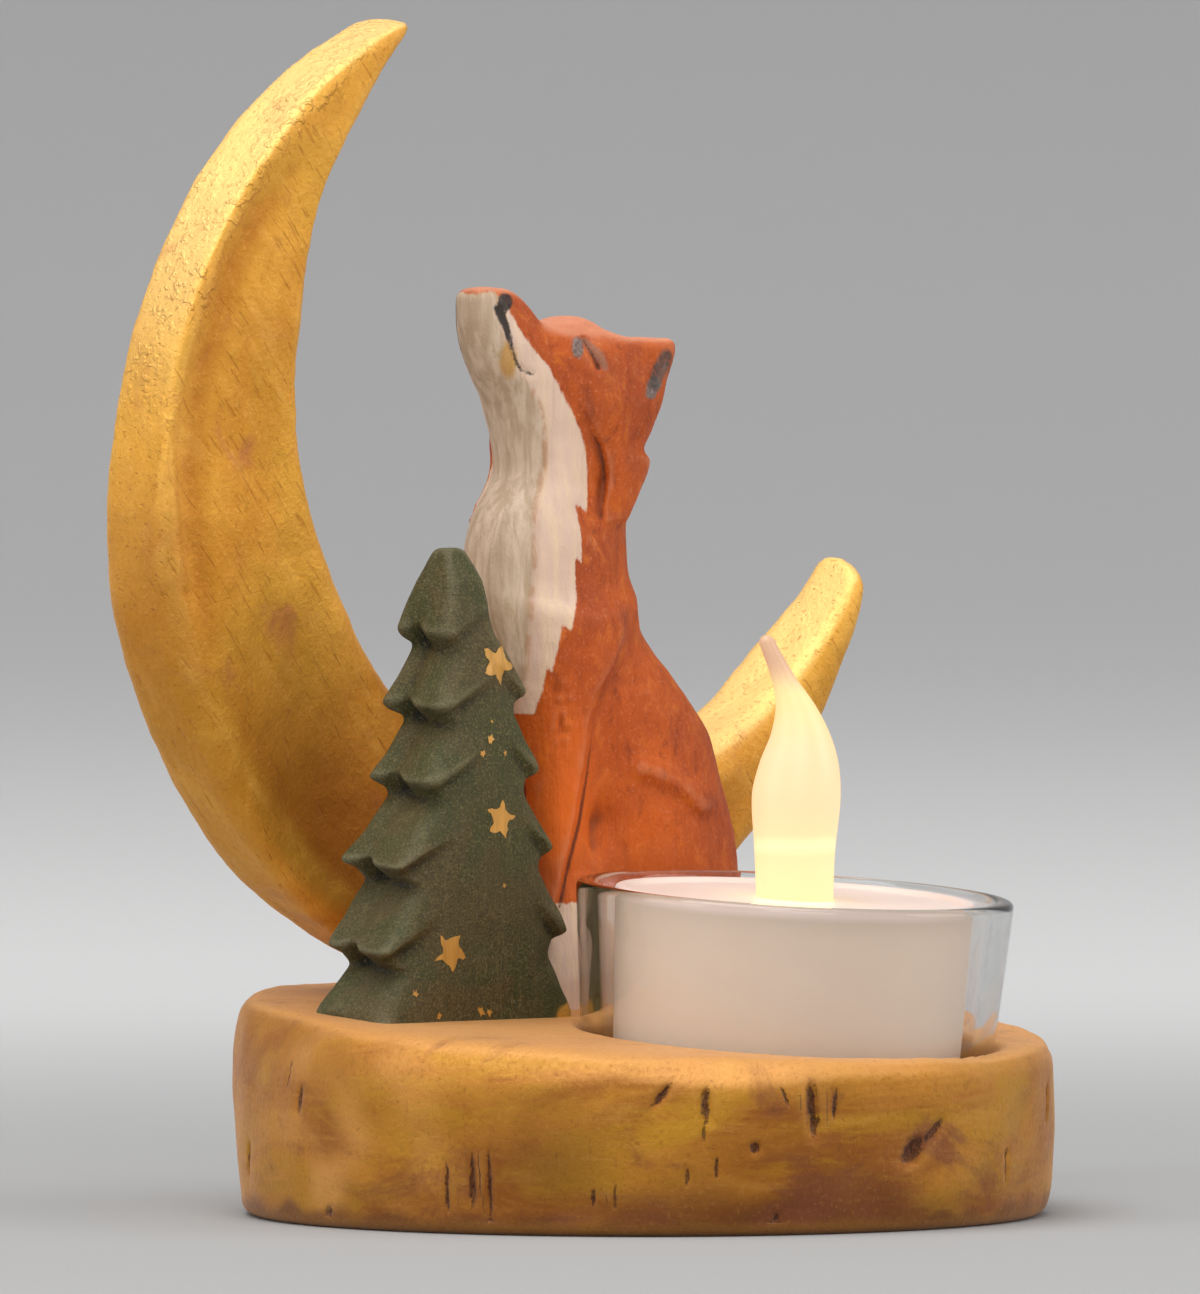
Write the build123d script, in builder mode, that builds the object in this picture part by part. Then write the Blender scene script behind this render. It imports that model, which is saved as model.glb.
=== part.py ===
"""Fox and moon tealight holder, carved from wood, with a glass cup and an LED tealight.

Millimetres and degrees. +Z is up, the origin is the centre of the base's underside, the ornament's front is
-Y and the moon stands in a plane along X. The top of the base falls towards the front, so the pieces that
sit in its recess lean with it.
"""
import os
from math import atan2, cos, degrees, hypot, radians, sin, tan

from build123d import *

# Base: a round slab, slightly barrelled
base_radius = 43.0
base_bottom_radius = 42.0
base_top_radius = 41.4
base_height = 20.5
base_slope = 4.4
base_top_round = 1.2
base_bottom_round = 1.2

# Recess and glass cup
cup_x = 3.0
cup_y = -17.9
recess_depth = 7.5
recess_gap = 0.35
cup_rim_radius = 22.8
cup_bottom_radius = 20.9
cup_height = 22.6
cup_wall = 2.1
cup_floor = 3.0
cup_foot_round = 1.0

# Moon: a crescent between two circles, thinner above its belly
moon_x = 5.3
moon_front_y = 25.2
moon_radius = 53.3
moon_lift = 0.7
moon_hollow_radius = 45.9
moon_hollow_shift = 10.9
moon_hollow_rise = 13.8
moon_foot_width = 17.0
moon_foot_height = 4.0
moon_foot_thickness = 11.4
moon_taper_start = 40.0
moon_taper_end = 66.0
moon_horn_thickness = 8.8
moon_tip_thickness = 7.0
moon_tip_trim = 3.4

# Tree: a slab with notched sides, thinner towards its top
tree_x = -20.4
tree_y = 8.5
tree_height = 48.5
tree_foot_thickness = 11.0
tree_shoulder_rise = 39.0
tree_shoulder_thickness = 8.2
tree_top_thickness = 2.2
tree_top_half_width = 1.1
tree_foot_left = 13.4
tree_foot_right = 12.0
tree_lip = 0.8
tree_bury = 2.0
# Tiers above the foot as (height of the lower edge, half width to the left and right, notch to the left and right)
tree_tiers = [
    (6.6, 12.0, 11.5, 3.3, 2.4),
    (15.4, 10.2, 9.7, 3.6, 1.6),
    (24.0, 6.4, 7.7, 2.6, 2.0),
    (32.0, 5.0, 6.5, 2.6, 1.2),
    (39.2, 3.4, 3.2, 1.9, 0.4),
]

# Fox: placed by the middle of its foot, facing -X
fox_x = 11.7
fox_y = 15.7
fox_leg_spread = 4.2
fox_ear_spread = 4.6
fox_bury = 4.0

# Dowels that hold the carvings on the base
dowel_radius = 2.0
dowel_length = 16.0
dowel_glue_gap = 0.05
dowel_end_gap = 0.3
moon_dowel_spacing = 9.0
fox_dowel_spacing = 12.0
tree_dowel_spacing = 10.0

# Tealight body, measured up from the floor of the glass
candle_height = 19.2
candle_top_radius = 18.7
candle_bottom_radius = 17.9
candle_wall = 1.2
candle_dish = 0.5
candle_rim = 1.1
flame_hole_radius = 4.1
flame_gap = 0.1
flame_flange = 1.2
flame_flange_thickness = 0.9

# Lamp
led_radius = 2.5
led_flange_radius = 2.9
led_flange_thickness = 1.0
led_length = 8.6
led_cavity_gap = 0.3
lead_radius = 0.25
lead_spacing = 2.54

# Bottom plate, door and cell
plate_recess = 0.6
plate_thickness = 1.8
plate_gap = 0.1
ledge_thickness = 0.9
door_shift = 3.0
cell_radius = 10.0
cell_thickness = 3.2
cell_gap = 0.3
door_lip = 1.6
door_gap = 0.1
door_turn = 40.0
lug_reach = 0.9
lug_thickness = 0.7
lug_width = 6.0
coin_slot_length = 14.0
coin_slot_width = 2.0
coin_slot_depth = 0.5

# Holder of the cell and the lamp
holder_wall = 2.2
holder_roof = 1.2
post_radius = 3.6
post_bore_radius = 2.2
strip_thickness = 0.3
strip_width = 4.0
window_gap = 0.3

# Slide switch
switch_offset = 12.4
switch_travel = 3.0
knob_width = 2.2
knob_length = 3.0
knob_flange = 0.8
knob_flange_thickness = 1.2
knob_recess = 0.3
switch_gap = 0.1
housing_wall = 0.7

# Planes and axes shared by the pieces
slope_rise = tan(radians(base_slope))
slope_normal = (0, -sin(radians(base_slope)), cos(radians(base_slope)))
top_plane = Plane(origin=(0, 0, base_height), x_dir=(1, 0, 0), z_dir=slope_normal)
seat_plane = Plane(
    origin=top_plane.from_local_coords((cup_x, cup_y, -recess_depth)), x_dir=(1, 0, 0), z_dir=slope_normal
)
candle_plane = seat_plane.offset(cup_floor)
door_plane = Plane(
    origin=candle_plane.from_local_coords((door_shift, 0, 0)), x_dir=(1, 0, 0), z_dir=slope_normal
)


def lathe(plane):
    """The upright plane through the axis of plane, where a profile's X is its radius and Y its height."""
    return Plane(origin=plane.origin, x_dir=plane.x_dir, z_dir=-plane.y_dir)


def axis_of(plane):
    return Axis(plane.origin, plane.z_dir)


def ground(x, y):
    """A level plane on the base's top below the point x, y."""
    return Plane(origin=(x, y, base_height + y * slope_rise))


moon_middle_y = moon_front_y + moon_foot_thickness / 2
moon_foot = Plane(
    origin=top_plane.from_local_coords((moon_x, moon_middle_y, 0)), x_dir=(1, 0, 0), z_dir=slope_normal
)
tree_foot = ground(tree_x, tree_y)
fox_foot = ground(fox_x, fox_y)
dowel_half = dowel_length / 2
hole_half = dowel_half + dowel_end_gap
hole_radius = dowel_radius + dowel_glue_gap


def dowel_places(x, y, spacing):
    """Where a pair of dowels stands on the base's top."""
    return [(x - spacing / 2, y), (x + spacing / 2, y)]


moon_dowel_places = dowel_places(moon_x, moon_middle_y, moon_dowel_spacing)
fox_dowel_places = dowel_places(fox_x, fox_y, fox_dowel_spacing)
tree_dowel_places = dowel_places(tree_x, tree_y, tree_dowel_spacing)
dowel_groups = {
    "moon_dowels": moon_dowel_places,
    "fox_dowels": fox_dowel_places,
    "tree_dowels": tree_dowel_places,
}


def drill(places):
    """Cuts dowel holes to both sides of the base's top."""
    with BuildSketch(top_plane) as holes:
        with Locations(*places):
            Circle(hole_radius)
    extrude(holes.sketch, amount=hole_half, both=True, mode=Mode.SUBTRACT)


# Base
cup_taper = (cup_rim_radius - cup_bottom_radius) / cup_height
recess_top_radius = cup_bottom_radius + cup_taper * recess_depth + recess_gap
base_block_height = base_height + base_radius * slope_rise + base_top_round

with BuildPart() as base:
    with BuildSketch(Plane.XZ):
        with BuildLine():
            Line((0, 0), (base_bottom_radius, 0))
            ThreePointArc(
                (base_bottom_radius, 0),
                (base_radius, base_block_height / 2),
                (base_top_radius, base_block_height),
            )
            Line((base_top_radius, base_block_height), (0, base_block_height))
            Line((0, base_block_height), (0, 0))
        make_face()
    revolve(axis=Axis.Z)
    split(bisect_by=top_plane, keep=Keep.BOTTOM)
    fillet(base.faces().sort_by(Axis.Z)[-1].edges(), base_top_round)
    fillet(base.faces().sort_by(Axis.Z)[0].edges(), base_bottom_round)
    with BuildSketch(seat_plane):
        Circle(recess_top_radius)
    extrude(amount=2 * recess_depth, mode=Mode.SUBTRACT)
    for places in dowel_groups.values():
        drill(places)

# Dowels
dowels = {}
for name, places in dowel_groups.items():
    with BuildPart() as pegs:
        with BuildSketch(top_plane):
            with Locations(*places):
                Circle(dowel_radius)
        extrude(amount=dowel_half, both=True)
    dowels[name] = pegs

# Moon
moon_centre_rise = moon_radius + moon_lift
moon_top_rise = moon_centre_rise + moon_radius
hollow_distance = hypot(moon_hollow_shift, moon_hollow_rise)
tip_reach = (hollow_distance**2 + moon_radius**2 - moon_hollow_radius**2) / (2 * hollow_distance)
opening_angle = degrees(atan2(moon_hollow_rise, moon_hollow_shift))
hollow_axis = Pos(0, moon_centre_rise) * Rot(0, 0, opening_angle)
moon_plane = lathe(moon_foot)
moon_side_plane = Plane(origin=moon_foot.origin, x_dir=moon_foot.y_dir, z_dir=moon_foot.x_dir)

with BuildPart() as moon:
    with BuildSketch(moon_plane):
        with Locations((0, moon_centre_rise)):
            Circle(moon_radius)
        with Locations((moon_hollow_shift, moon_centre_rise + moon_hollow_rise)):
            Circle(moon_hollow_radius, mode=Mode.SUBTRACT)
        with Locations(hollow_axis * Pos(tip_reach - moon_tip_trim, 0)):
            Rectangle(2 * moon_radius, 4 * moon_radius, align=(Align.MIN, Align.CENTER), mode=Mode.SUBTRACT)
        Rectangle(moon_foot_width, 2 * moon_foot_height)
    extrude(amount=moon_foot_thickness / 2, both=True)
    with BuildSketch(moon_side_plane):
        with BuildLine():
            Polyline(
                (-moon_foot_thickness / 2, -moon_foot_height),
                (moon_foot_thickness / 2, -moon_foot_height),
                (moon_foot_thickness / 2, moon_taper_start),
                (moon_horn_thickness / 2, moon_taper_end),
                (moon_tip_thickness / 2, moon_top_rise),
                (-moon_tip_thickness / 2, moon_top_rise),
                (-moon_horn_thickness / 2, moon_taper_end),
                (-moon_foot_thickness / 2, moon_taper_start),
                close=True,
            )
        make_face()
    extrude(amount=2 * moon_radius, both=True, mode=Mode.INTERSECT)
    split(bisect_by=top_plane, keep=Keep.TOP)
    drill(moon_dowel_places)

# Tree
tree_left = [(-tree_foot_left, -tree_bury), (-tree_foot_left, 0)]
tree_right = [(tree_foot_right, -tree_bury), (tree_foot_right, 0)]
for level, left, right, left_notch, right_notch in tree_tiers:
    tree_left += [(left_notch - left, level - tree_lip), (-left, level)]
    tree_right += [(right - right_notch, level - tree_lip), (right, level)]
tree_left.append((-tree_top_half_width, tree_height))
tree_right.append((tree_top_half_width, tree_height))

with BuildPart() as tree:
    with BuildSketch(lathe(tree_foot)):
        with BuildLine():
            Polyline(*tree_left, *reversed(tree_right), close=True)
        make_face()
    extrude(amount=tree_foot_thickness / 2, both=True)
    with BuildSketch(Plane(origin=tree_foot.origin, x_dir=tree_foot.y_dir, z_dir=tree_foot.x_dir)):
        with BuildLine():
            Polyline(
                (-tree_foot_thickness / 2, -tree_bury),
                (tree_foot_thickness / 2, -tree_bury),
                (tree_foot_thickness / 2, 0),
                (tree_shoulder_thickness / 2, tree_shoulder_rise),
                (tree_top_thickness / 2, tree_height),
                (-tree_top_thickness / 2, tree_height),
                (-tree_shoulder_thickness / 2, tree_shoulder_rise),
                (-tree_foot_thickness / 2, 0),
                close=True,
            )
        make_face()
    extrude(amount=tree_foot_left + tree_foot_right, both=True, mode=Mode.INTERSECT)
    split(bisect_by=top_plane, keep=Keep.TOP)
    drill(tree_dowel_places)

# Fox: sections as (height, shift along X, half length, half width), each measured from the middle of its foot
fox_body = [
    (-fox_bury, 1.0, 11.4, 6.9),
    (6.0, 1.2, 12.0, 7.2),
    (17.3, 1.8, 12.4, 7.3),
    (28.5, -1.0, 12.4, 7.3),
    (37.5, -7.8, 10.9, 7.2),
    (44.5, -10.7, 10.2, 7.0),
    (51.0, -10.6, 9.2, 6.7),
    (57.2, -9.4, 7.8, 6.4),
    (63.0, -7.2, 8.8, 6.9),
    (67.0, -6.2, 8.6, 6.8),
    (70.0, -6.4, 6.8, 5.6),
    (71.9, -7.2, 3.8, 2.8),
]
fox_snout = [
    (57.2, -10.4, 6.6, 4.6),
    (63.0, -12.0, 6.6, 4.6),
    (67.5, -14.6, 6.3, 4.3),
    (71.0, -17.1, 5.3, 3.7),
    (73.6, -18.7, 4.2, 3.0),
    (75.4, -19.8, 3.1, 2.4),
]
# Paired pieces on the left side as (height, shift along X, distance from the middle, half length, half width)
fox_leg = [
    (-fox_bury, -9.4, fox_leg_spread, 3.2, 2.8),
    (10.0, -9.2, fox_leg_spread, 3.1, 2.8),
    (25.0, -9.0, fox_leg_spread, 3.6, 3.0),
    (40.0, -10.0, fox_leg_spread, 4.2, 2.8),
]
fox_paw = [
    (-fox_bury, -11.2, fox_leg_spread, 4.6, 3.2),
    (2.2, -11.2, fox_leg_spread, 4.5, 3.1),
    (4.6, -10.6, fox_leg_spread, 3.2, 2.4),
]
fox_haunch = [
    (-fox_bury, 4.4, 4.0, 8.4, 3.6),
    (8.0, 4.8, 4.0, 9.0, 3.6),
    (18.0, 3.6, 4.0, 8.0, 3.4),
    (27.0, 0.4, 3.8, 5.0, 2.4),
]
fox_cheek = [
    (52.0, -5.6, 5.4, 1.2, 0.9),
    (57.5, -4.4, 4.9, 4.2, 2.4),
    (64.0, -3.4, 4.6, 5.0, 2.6),
    (69.0, -2.6, 4.2, 2.4, 1.4),
]
# Ear sections as (height, shift along X, distance from the middle, half length, half width)
fox_ear = [
    (61.5, -4.6, fox_ear_spread - 2.4, 2.2, 1.4),
    (66.4, -1.0, fox_ear_spread + 0.4, 3.4, 2.0),
    (70.6, 1.2, fox_ear_spread + 1.2, 1.9, 0.8),
]
# Tail sections as (X, Y, turn of the section's normal, half width), on the base beside the haunch
fox_tail_rise = 3.6
fox_tail = [
    (19.0, 15.8, 0.0, 3.0),
    (26.6, 14.2, -28.0, 3.8),
    (31.8, 8.8, -68.0, 4.3),
    (32.4, 1.8, -102.0, 3.9),
    (30.0, -4.6, -114.0, 1.4),
]


def paired(sections, side):
    """A loft through level ellipses on one side of the fox, -1 for its left and 1 for its right."""
    outlines = []
    for height, shift, out, half_length, half_width in sections:
        with BuildSketch(fox_foot.offset(height)) as outline:
            with Locations((shift, side * out)):
                Ellipse(half_length, half_width)
        outlines.append(outline.sketch)
    loft(outlines)


with BuildPart() as fox:
    for sections in (fox_body, fox_snout):
        for height, shift, half_length, half_width in sections:
            with BuildSketch(fox_foot.offset(height)):
                with Locations((shift, 0)):
                    Ellipse(half_length, half_width)
        loft()
    for side in (-1, 1):
        for sections in (fox_leg, fox_paw, fox_haunch, fox_cheek, fox_ear):
            paired(sections, side)
    for x, y, turn, half_width in fox_tail:
        along = (cos(radians(turn)), sin(radians(turn)), 0)
        level = base_height + y * slope_rise + fox_tail_rise
        with BuildSketch(Plane((x, y, level), (0, 0, 1), along)):
            Circle(half_width)
    loft()
    split(bisect_by=top_plane, keep=Keep.TOP)
    drill(fox_dowel_places)

# Glass cup
cup_inner_rim = cup_rim_radius - cup_wall
cup_inner_floor = cup_bottom_radius + cup_taper * cup_floor - cup_wall

with BuildPart() as glass_cup:
    with BuildSketch(lathe(seat_plane)) as cup_profile:
        with BuildLine():
            Polyline(
                (0, 0),
                (cup_bottom_radius, 0),
                (cup_rim_radius, cup_height),
                (cup_inner_rim, cup_height),
                (cup_inner_floor, cup_floor),
                (0, cup_floor),
                close=True,
            )
        make_face()
        rim_corners = cup_profile.vertices().group_by(Axis(seat_plane.origin, seat_plane.z_dir))[-1]
        fillet(rim_corners, cup_wall / 2.2)
        fillet(cup_profile.vertices().sort_by(axis_of(seat_plane))[0:2].sort_by(Axis.X)[-1], cup_foot_round)
    revolve(axis=axis_of(seat_plane))

# Tealight shell, open below
shell_top_low = candle_height - candle_dish - candle_wall

with BuildPart() as candle_shell:
    with BuildSketch(lathe(candle_plane)):
        with BuildLine():
            Polyline(
                (candle_bottom_radius, 0),
                (candle_top_radius, candle_height),
                (candle_top_radius - candle_rim, candle_height),
                (candle_top_radius - candle_rim - candle_dish, candle_height - candle_dish),
                (flame_hole_radius, candle_height - candle_dish),
                (flame_hole_radius, shell_top_low),
                (candle_top_radius - candle_wall, shell_top_low),
                (candle_bottom_radius - candle_wall, 0),
                close=True,
            )
        make_face()
    revolve(axis=axis_of(candle_plane))

# Flame: sections as (height above the shell's top, drift towards -X and +Y, radius)
flame_sections = [
    (0.0, 0.0, flame_hole_radius - flame_gap),
    (5.0, 0.2, 4.2),
    (10.5, 0.3, 4.6),
    (14.0, 0.2, 4.1),
    (17.0, 0.2, 3.1),
    (20.0, 0.7, 2.1),
    (23.0, 1.8, 1.3),
    (26.2, 3.0, 0.9),
]
flame_level = candle_height - candle_dish
flame_low = shell_top_low - flame_flange_thickness
led_low = flame_low - led_flange_thickness / 2
led_top = led_low + led_length

with BuildPart() as flame_lens:
    for height, drift, radius in flame_sections:
        with BuildSketch(candle_plane.offset(flame_level + height)):
            with Locations((-drift, drift)):
                Circle(radius)
    loft()
    with BuildSketch(candle_plane.offset(flame_low)):
        Circle(flame_hole_radius - flame_gap)
    extrude(amount=flame_level - flame_low)
    with BuildSketch(candle_plane.offset(flame_low)):
        Circle(flame_hole_radius + flame_flange)
    extrude(amount=flame_flange_thickness)
    with BuildSketch(candle_plane.offset(flame_low)):
        Circle(led_flange_radius + led_cavity_gap)
    extrude(amount=led_top - flame_low + led_cavity_gap, mode=Mode.SUBTRACT)

# Lamp: a domed cylinder with a flange
with BuildPart() as led:
    with BuildSketch(lathe(candle_plane)):
        with BuildLine():
            Polyline(
                (0, led_low),
                (led_flange_radius, led_low),
                (led_flange_radius, led_low + led_flange_thickness),
                (led_radius, led_low + led_flange_thickness),
                (led_radius, led_top - led_radius),
            )
            RadiusArc((led_radius, led_top - led_radius), (0, led_top), -led_radius)
            Line((0, led_top), (0, led_low))
        make_face()
    revolve(axis=axis_of(candle_plane))

# Stack inside the tealight, from the bottom plate up
plate_low = plate_recess
plate_top = plate_low + plate_thickness
ledge_low = plate_top - ledge_thickness
lug_low = plate_top + door_gap
lug_top = lug_low + lug_thickness
cell_low = lug_top + door_gap
cell_top = cell_low + cell_thickness
roof_low = cell_top + strip_thickness
roof_top = roof_low + holder_roof
shell_draft = (candle_top_radius - candle_bottom_radius) / candle_height
plate_radius = candle_bottom_radius - candle_wall + shell_draft * plate_low - plate_gap

mouth_radius = cell_radius + cell_gap
boss_radius = mouth_radius - door_gap
lug_radius = boss_radius + lug_reach
door_radius = mouth_radius + door_lip
holder_inner_radius = cell_radius + cell_gap
holder_radius = holder_inner_radius + holder_wall
lug_space_radius = lug_radius + cell_gap

knob_low = knob_recess
knob_flange_low = plate_top + switch_gap
knob_flange_top = knob_flange_low + knob_flange_thickness
slot_width = knob_width + 2 * switch_gap
slot_length = knob_length + switch_travel + 2 * switch_gap
flange_width = knob_width + 2 * knob_flange
flange_length = knob_length + 2 * knob_flange
pocket_width = flange_width + 2 * switch_gap
pocket_length = flange_length + switch_travel + 2 * switch_gap
pocket_top = knob_flange_top + switch_gap

# Bottom plate
with BuildPart() as bottom_plate:
    with BuildSketch(candle_plane.offset(plate_low)):
        Circle(plate_radius)
    extrude(amount=plate_thickness)
    with BuildSketch(door_plane.offset(plate_low)):
        Circle(door_radius + door_gap)
    extrude(amount=plate_thickness - ledge_thickness, mode=Mode.SUBTRACT)
    with BuildSketch(door_plane.offset(plate_low)):
        Circle(mouth_radius)
    extrude(amount=plate_thickness, mode=Mode.SUBTRACT)
    with BuildSketch(door_plane.offset(ledge_low)):
        with Locations(Rotation(0, 0, door_turn)):
            Rectangle(lug_width + 2 * door_gap, 2 * lug_radius + 2 * door_gap)
    extrude(amount=ledge_thickness, mode=Mode.SUBTRACT)
    with BuildSketch(candle_plane.offset(plate_low)):
        with Locations((-switch_offset, 0)):
            Rectangle(slot_width, slot_length)
    extrude(amount=plate_thickness, mode=Mode.SUBTRACT)

# Battery door: a disc below the ledge, a boss through it and two lugs above it
with BuildPart() as battery_door:
    with BuildSketch(door_plane.offset(plate_low)):
        Circle(door_radius)
    extrude(amount=ledge_low - door_gap - plate_low)
    with BuildSketch(door_plane.offset(plate_low)):
        Circle(boss_radius)
    extrude(amount=lug_top - plate_low)
    with BuildSketch(door_plane.offset(lug_low)):
        Circle(lug_radius)
        Rectangle(lug_width, 2 * lug_radius, mode=Mode.INTERSECT)
    extrude(amount=lug_thickness)
    with BuildSketch(door_plane.offset(plate_low)):
        SlotOverall(coin_slot_length, coin_slot_width)
    extrude(amount=coin_slot_depth, mode=Mode.SUBTRACT)

# Cell
with BuildPart() as coin_cell:
    with BuildSketch(door_plane.offset(cell_low)):
        Circle(cell_radius)
    extrude(amount=cell_thickness)

# Holder: a ring round the cell with a roof, and a hollow post under the lamp
lead_half = lead_spacing / 2
leg_outer = door_shift - cell_radius - window_gap - strip_thickness
window_width = strip_width + 2 * window_gap
window_low = cell_low
arm_top = roof_top + strip_thickness

with BuildPart() as battery_holder:
    with BuildSketch(door_plane.offset(plate_top)):
        Circle(holder_radius)
    extrude(amount=roof_top - plate_top)
    with BuildSketch(door_plane.offset(plate_top)):
        Circle(lug_space_radius)
    extrude(amount=cell_low - plate_top, mode=Mode.SUBTRACT)
    with BuildSketch(door_plane.offset(cell_low)):
        Circle(holder_inner_radius)
    extrude(amount=roof_low - cell_low, mode=Mode.SUBTRACT)
    with BuildSketch(candle_plane.offset(roof_top)):
        Circle(post_radius)
        Circle(post_bore_radius, mode=Mode.SUBTRACT)
    extrude(amount=led_low - roof_top)
    with BuildSketch(candle_plane.offset(window_low)):
        with Locations((door_shift - cell_radius, 0)):
            Rectangle(2 * holder_wall, window_width, align=(Align.MAX, Align.CENTER))
    extrude(amount=roof_top - window_low, mode=Mode.SUBTRACT)
    with BuildSketch(candle_plane.offset(roof_top)):
        Rectangle(2 * post_radius, window_width, align=(Align.MAX, Align.CENTER))
    extrude(amount=strip_thickness + window_gap, mode=Mode.SUBTRACT)
    with BuildSketch(candle_plane.offset(roof_low)):
        with Locations((lead_half, 0)):
            Circle(lead_radius + window_gap)
    extrude(amount=holder_roof, mode=Mode.SUBTRACT)

# Contacts: a bent strip from the cell's rim to the first lead, and a flat one on the cell below the second
with BuildPart() as positive_contact:
    with BuildSketch(lathe(candle_plane)):
        with BuildLine():
            Polyline(
                (leg_outer, cell_low + window_gap),
                (leg_outer + strip_thickness, cell_low + window_gap),
                (leg_outer + strip_thickness, roof_top),
                (-lead_half + 2 * lead_radius, roof_top),
                (-lead_half + 2 * lead_radius, arm_top),
                (leg_outer, arm_top),
                close=True,
            )
        make_face()
    extrude(amount=strip_width / 2, both=True)

with BuildPart() as negative_contact:
    with BuildSketch(door_plane.offset(cell_top)):
        Rectangle(2 * cell_radius - strip_width, strip_width)
    extrude(amount=strip_thickness)

# Leads of the lamp
with BuildPart() as led_leads:
    for place, low in ((-lead_half, arm_top), (lead_half, roof_low)):
        with BuildSketch(candle_plane.offset(low)):
            with Locations((place, 0)):
                Circle(lead_radius)
        extrude(amount=led_low - low)

# Slide switch, standing at its ON end
knob_rest = -switch_travel / 2

with BuildPart() as switch_knob:
    with BuildSketch(candle_plane.offset(knob_low)):
        with Locations((-switch_offset, knob_rest)):
            Rectangle(knob_width, knob_length)
    extrude(amount=knob_flange_top - knob_low)
    with BuildSketch(candle_plane.offset(knob_flange_low)):
        with Locations((-switch_offset, knob_rest)):
            Rectangle(flange_width, flange_length)
    extrude(amount=knob_flange_thickness)

with BuildPart() as switch_housing:
    with BuildSketch(candle_plane.offset(plate_top)):
        with Locations((-switch_offset, 0)):
            Rectangle(pocket_width + 2 * housing_wall, pocket_length + 2 * housing_wall)
    extrude(amount=pocket_top + housing_wall - plate_top)
    with BuildSketch(candle_plane.offset(plate_top)):
        with Locations((-switch_offset, 0)):
            Rectangle(pocket_width, pocket_length)
    extrude(amount=pocket_top - plate_top, mode=Mode.SUBTRACT)

pieces = {
    "base": base,
    "moon": moon,
    "fox": fox,
    "tree": tree,
    **dowels,
    "glass_cup": glass_cup,
    "candle_shell": candle_shell,
    "flame_lens": flame_lens,
    "led": led,
    "led_leads": led_leads,
    "battery_holder": battery_holder,
    "coin_cell": coin_cell,
    "positive_contact": positive_contact,
    "negative_contact": negative_contact,
    "bottom_plate": bottom_plate,
    "switch_housing": switch_housing,
    "switch_knob": switch_knob,
    "battery_door": battery_door,
}

os.makedirs("parts", exist_ok=True)
for name, piece in pieces.items():
    piece.part.label = name
    export_step(piece.part, f"parts/{name}.step")
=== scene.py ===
import math

import bpy
import numpy as np
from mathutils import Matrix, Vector, noise


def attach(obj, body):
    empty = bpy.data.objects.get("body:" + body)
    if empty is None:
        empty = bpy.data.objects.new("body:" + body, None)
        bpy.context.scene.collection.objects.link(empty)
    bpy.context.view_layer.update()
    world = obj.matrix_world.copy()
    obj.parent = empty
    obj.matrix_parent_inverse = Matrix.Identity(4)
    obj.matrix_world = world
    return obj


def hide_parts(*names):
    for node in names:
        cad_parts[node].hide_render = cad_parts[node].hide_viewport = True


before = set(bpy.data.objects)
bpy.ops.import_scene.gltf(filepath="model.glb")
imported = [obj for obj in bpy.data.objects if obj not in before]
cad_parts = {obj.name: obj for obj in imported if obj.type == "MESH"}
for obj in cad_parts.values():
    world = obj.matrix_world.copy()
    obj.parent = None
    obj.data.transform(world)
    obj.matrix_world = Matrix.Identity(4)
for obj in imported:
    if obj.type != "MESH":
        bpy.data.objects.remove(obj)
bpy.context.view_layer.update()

mm = 0.001
coarse = 1.0
slope = math.radians(4.4)  # fall of the base's top towards the front
slopeUp = np.array([0.0, -math.sin(slope), math.cos(slope)])
slopeBack = np.array([0.0, math.cos(slope), math.sin(slope)])
acrossX = np.array([1.0, 0.0, 0.0])
baseHeight = 20.5


def groundLevel(y):
    return baseHeight + y * math.tan(slope)


# Fields and meshes, in millimetres

def smoothMin(a, b, k):
    h = np.clip(0.5 + 0.5 * (b - a) / k, 0, 1)
    return b + (a - b) * h - k * h * (1 - h)


def smoothMax(a, b, k):
    return -smoothMin(-a, -b, k)


def softStep(value, low, high):
    t = np.clip((value - low) / (high - low), 0, 1)
    return t * t * (3 - 2 * t)


def hump(value, middle, width):
    return np.exp(-((value - middle) / width) ** 2)


def fieldGrid(low, high, step):
    axes = [np.arange(a, b + step, step, dtype=np.float32) for a, b in zip(low, high)]
    return np.meshgrid(*axes, indexing="ij", sparse=True)


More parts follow.
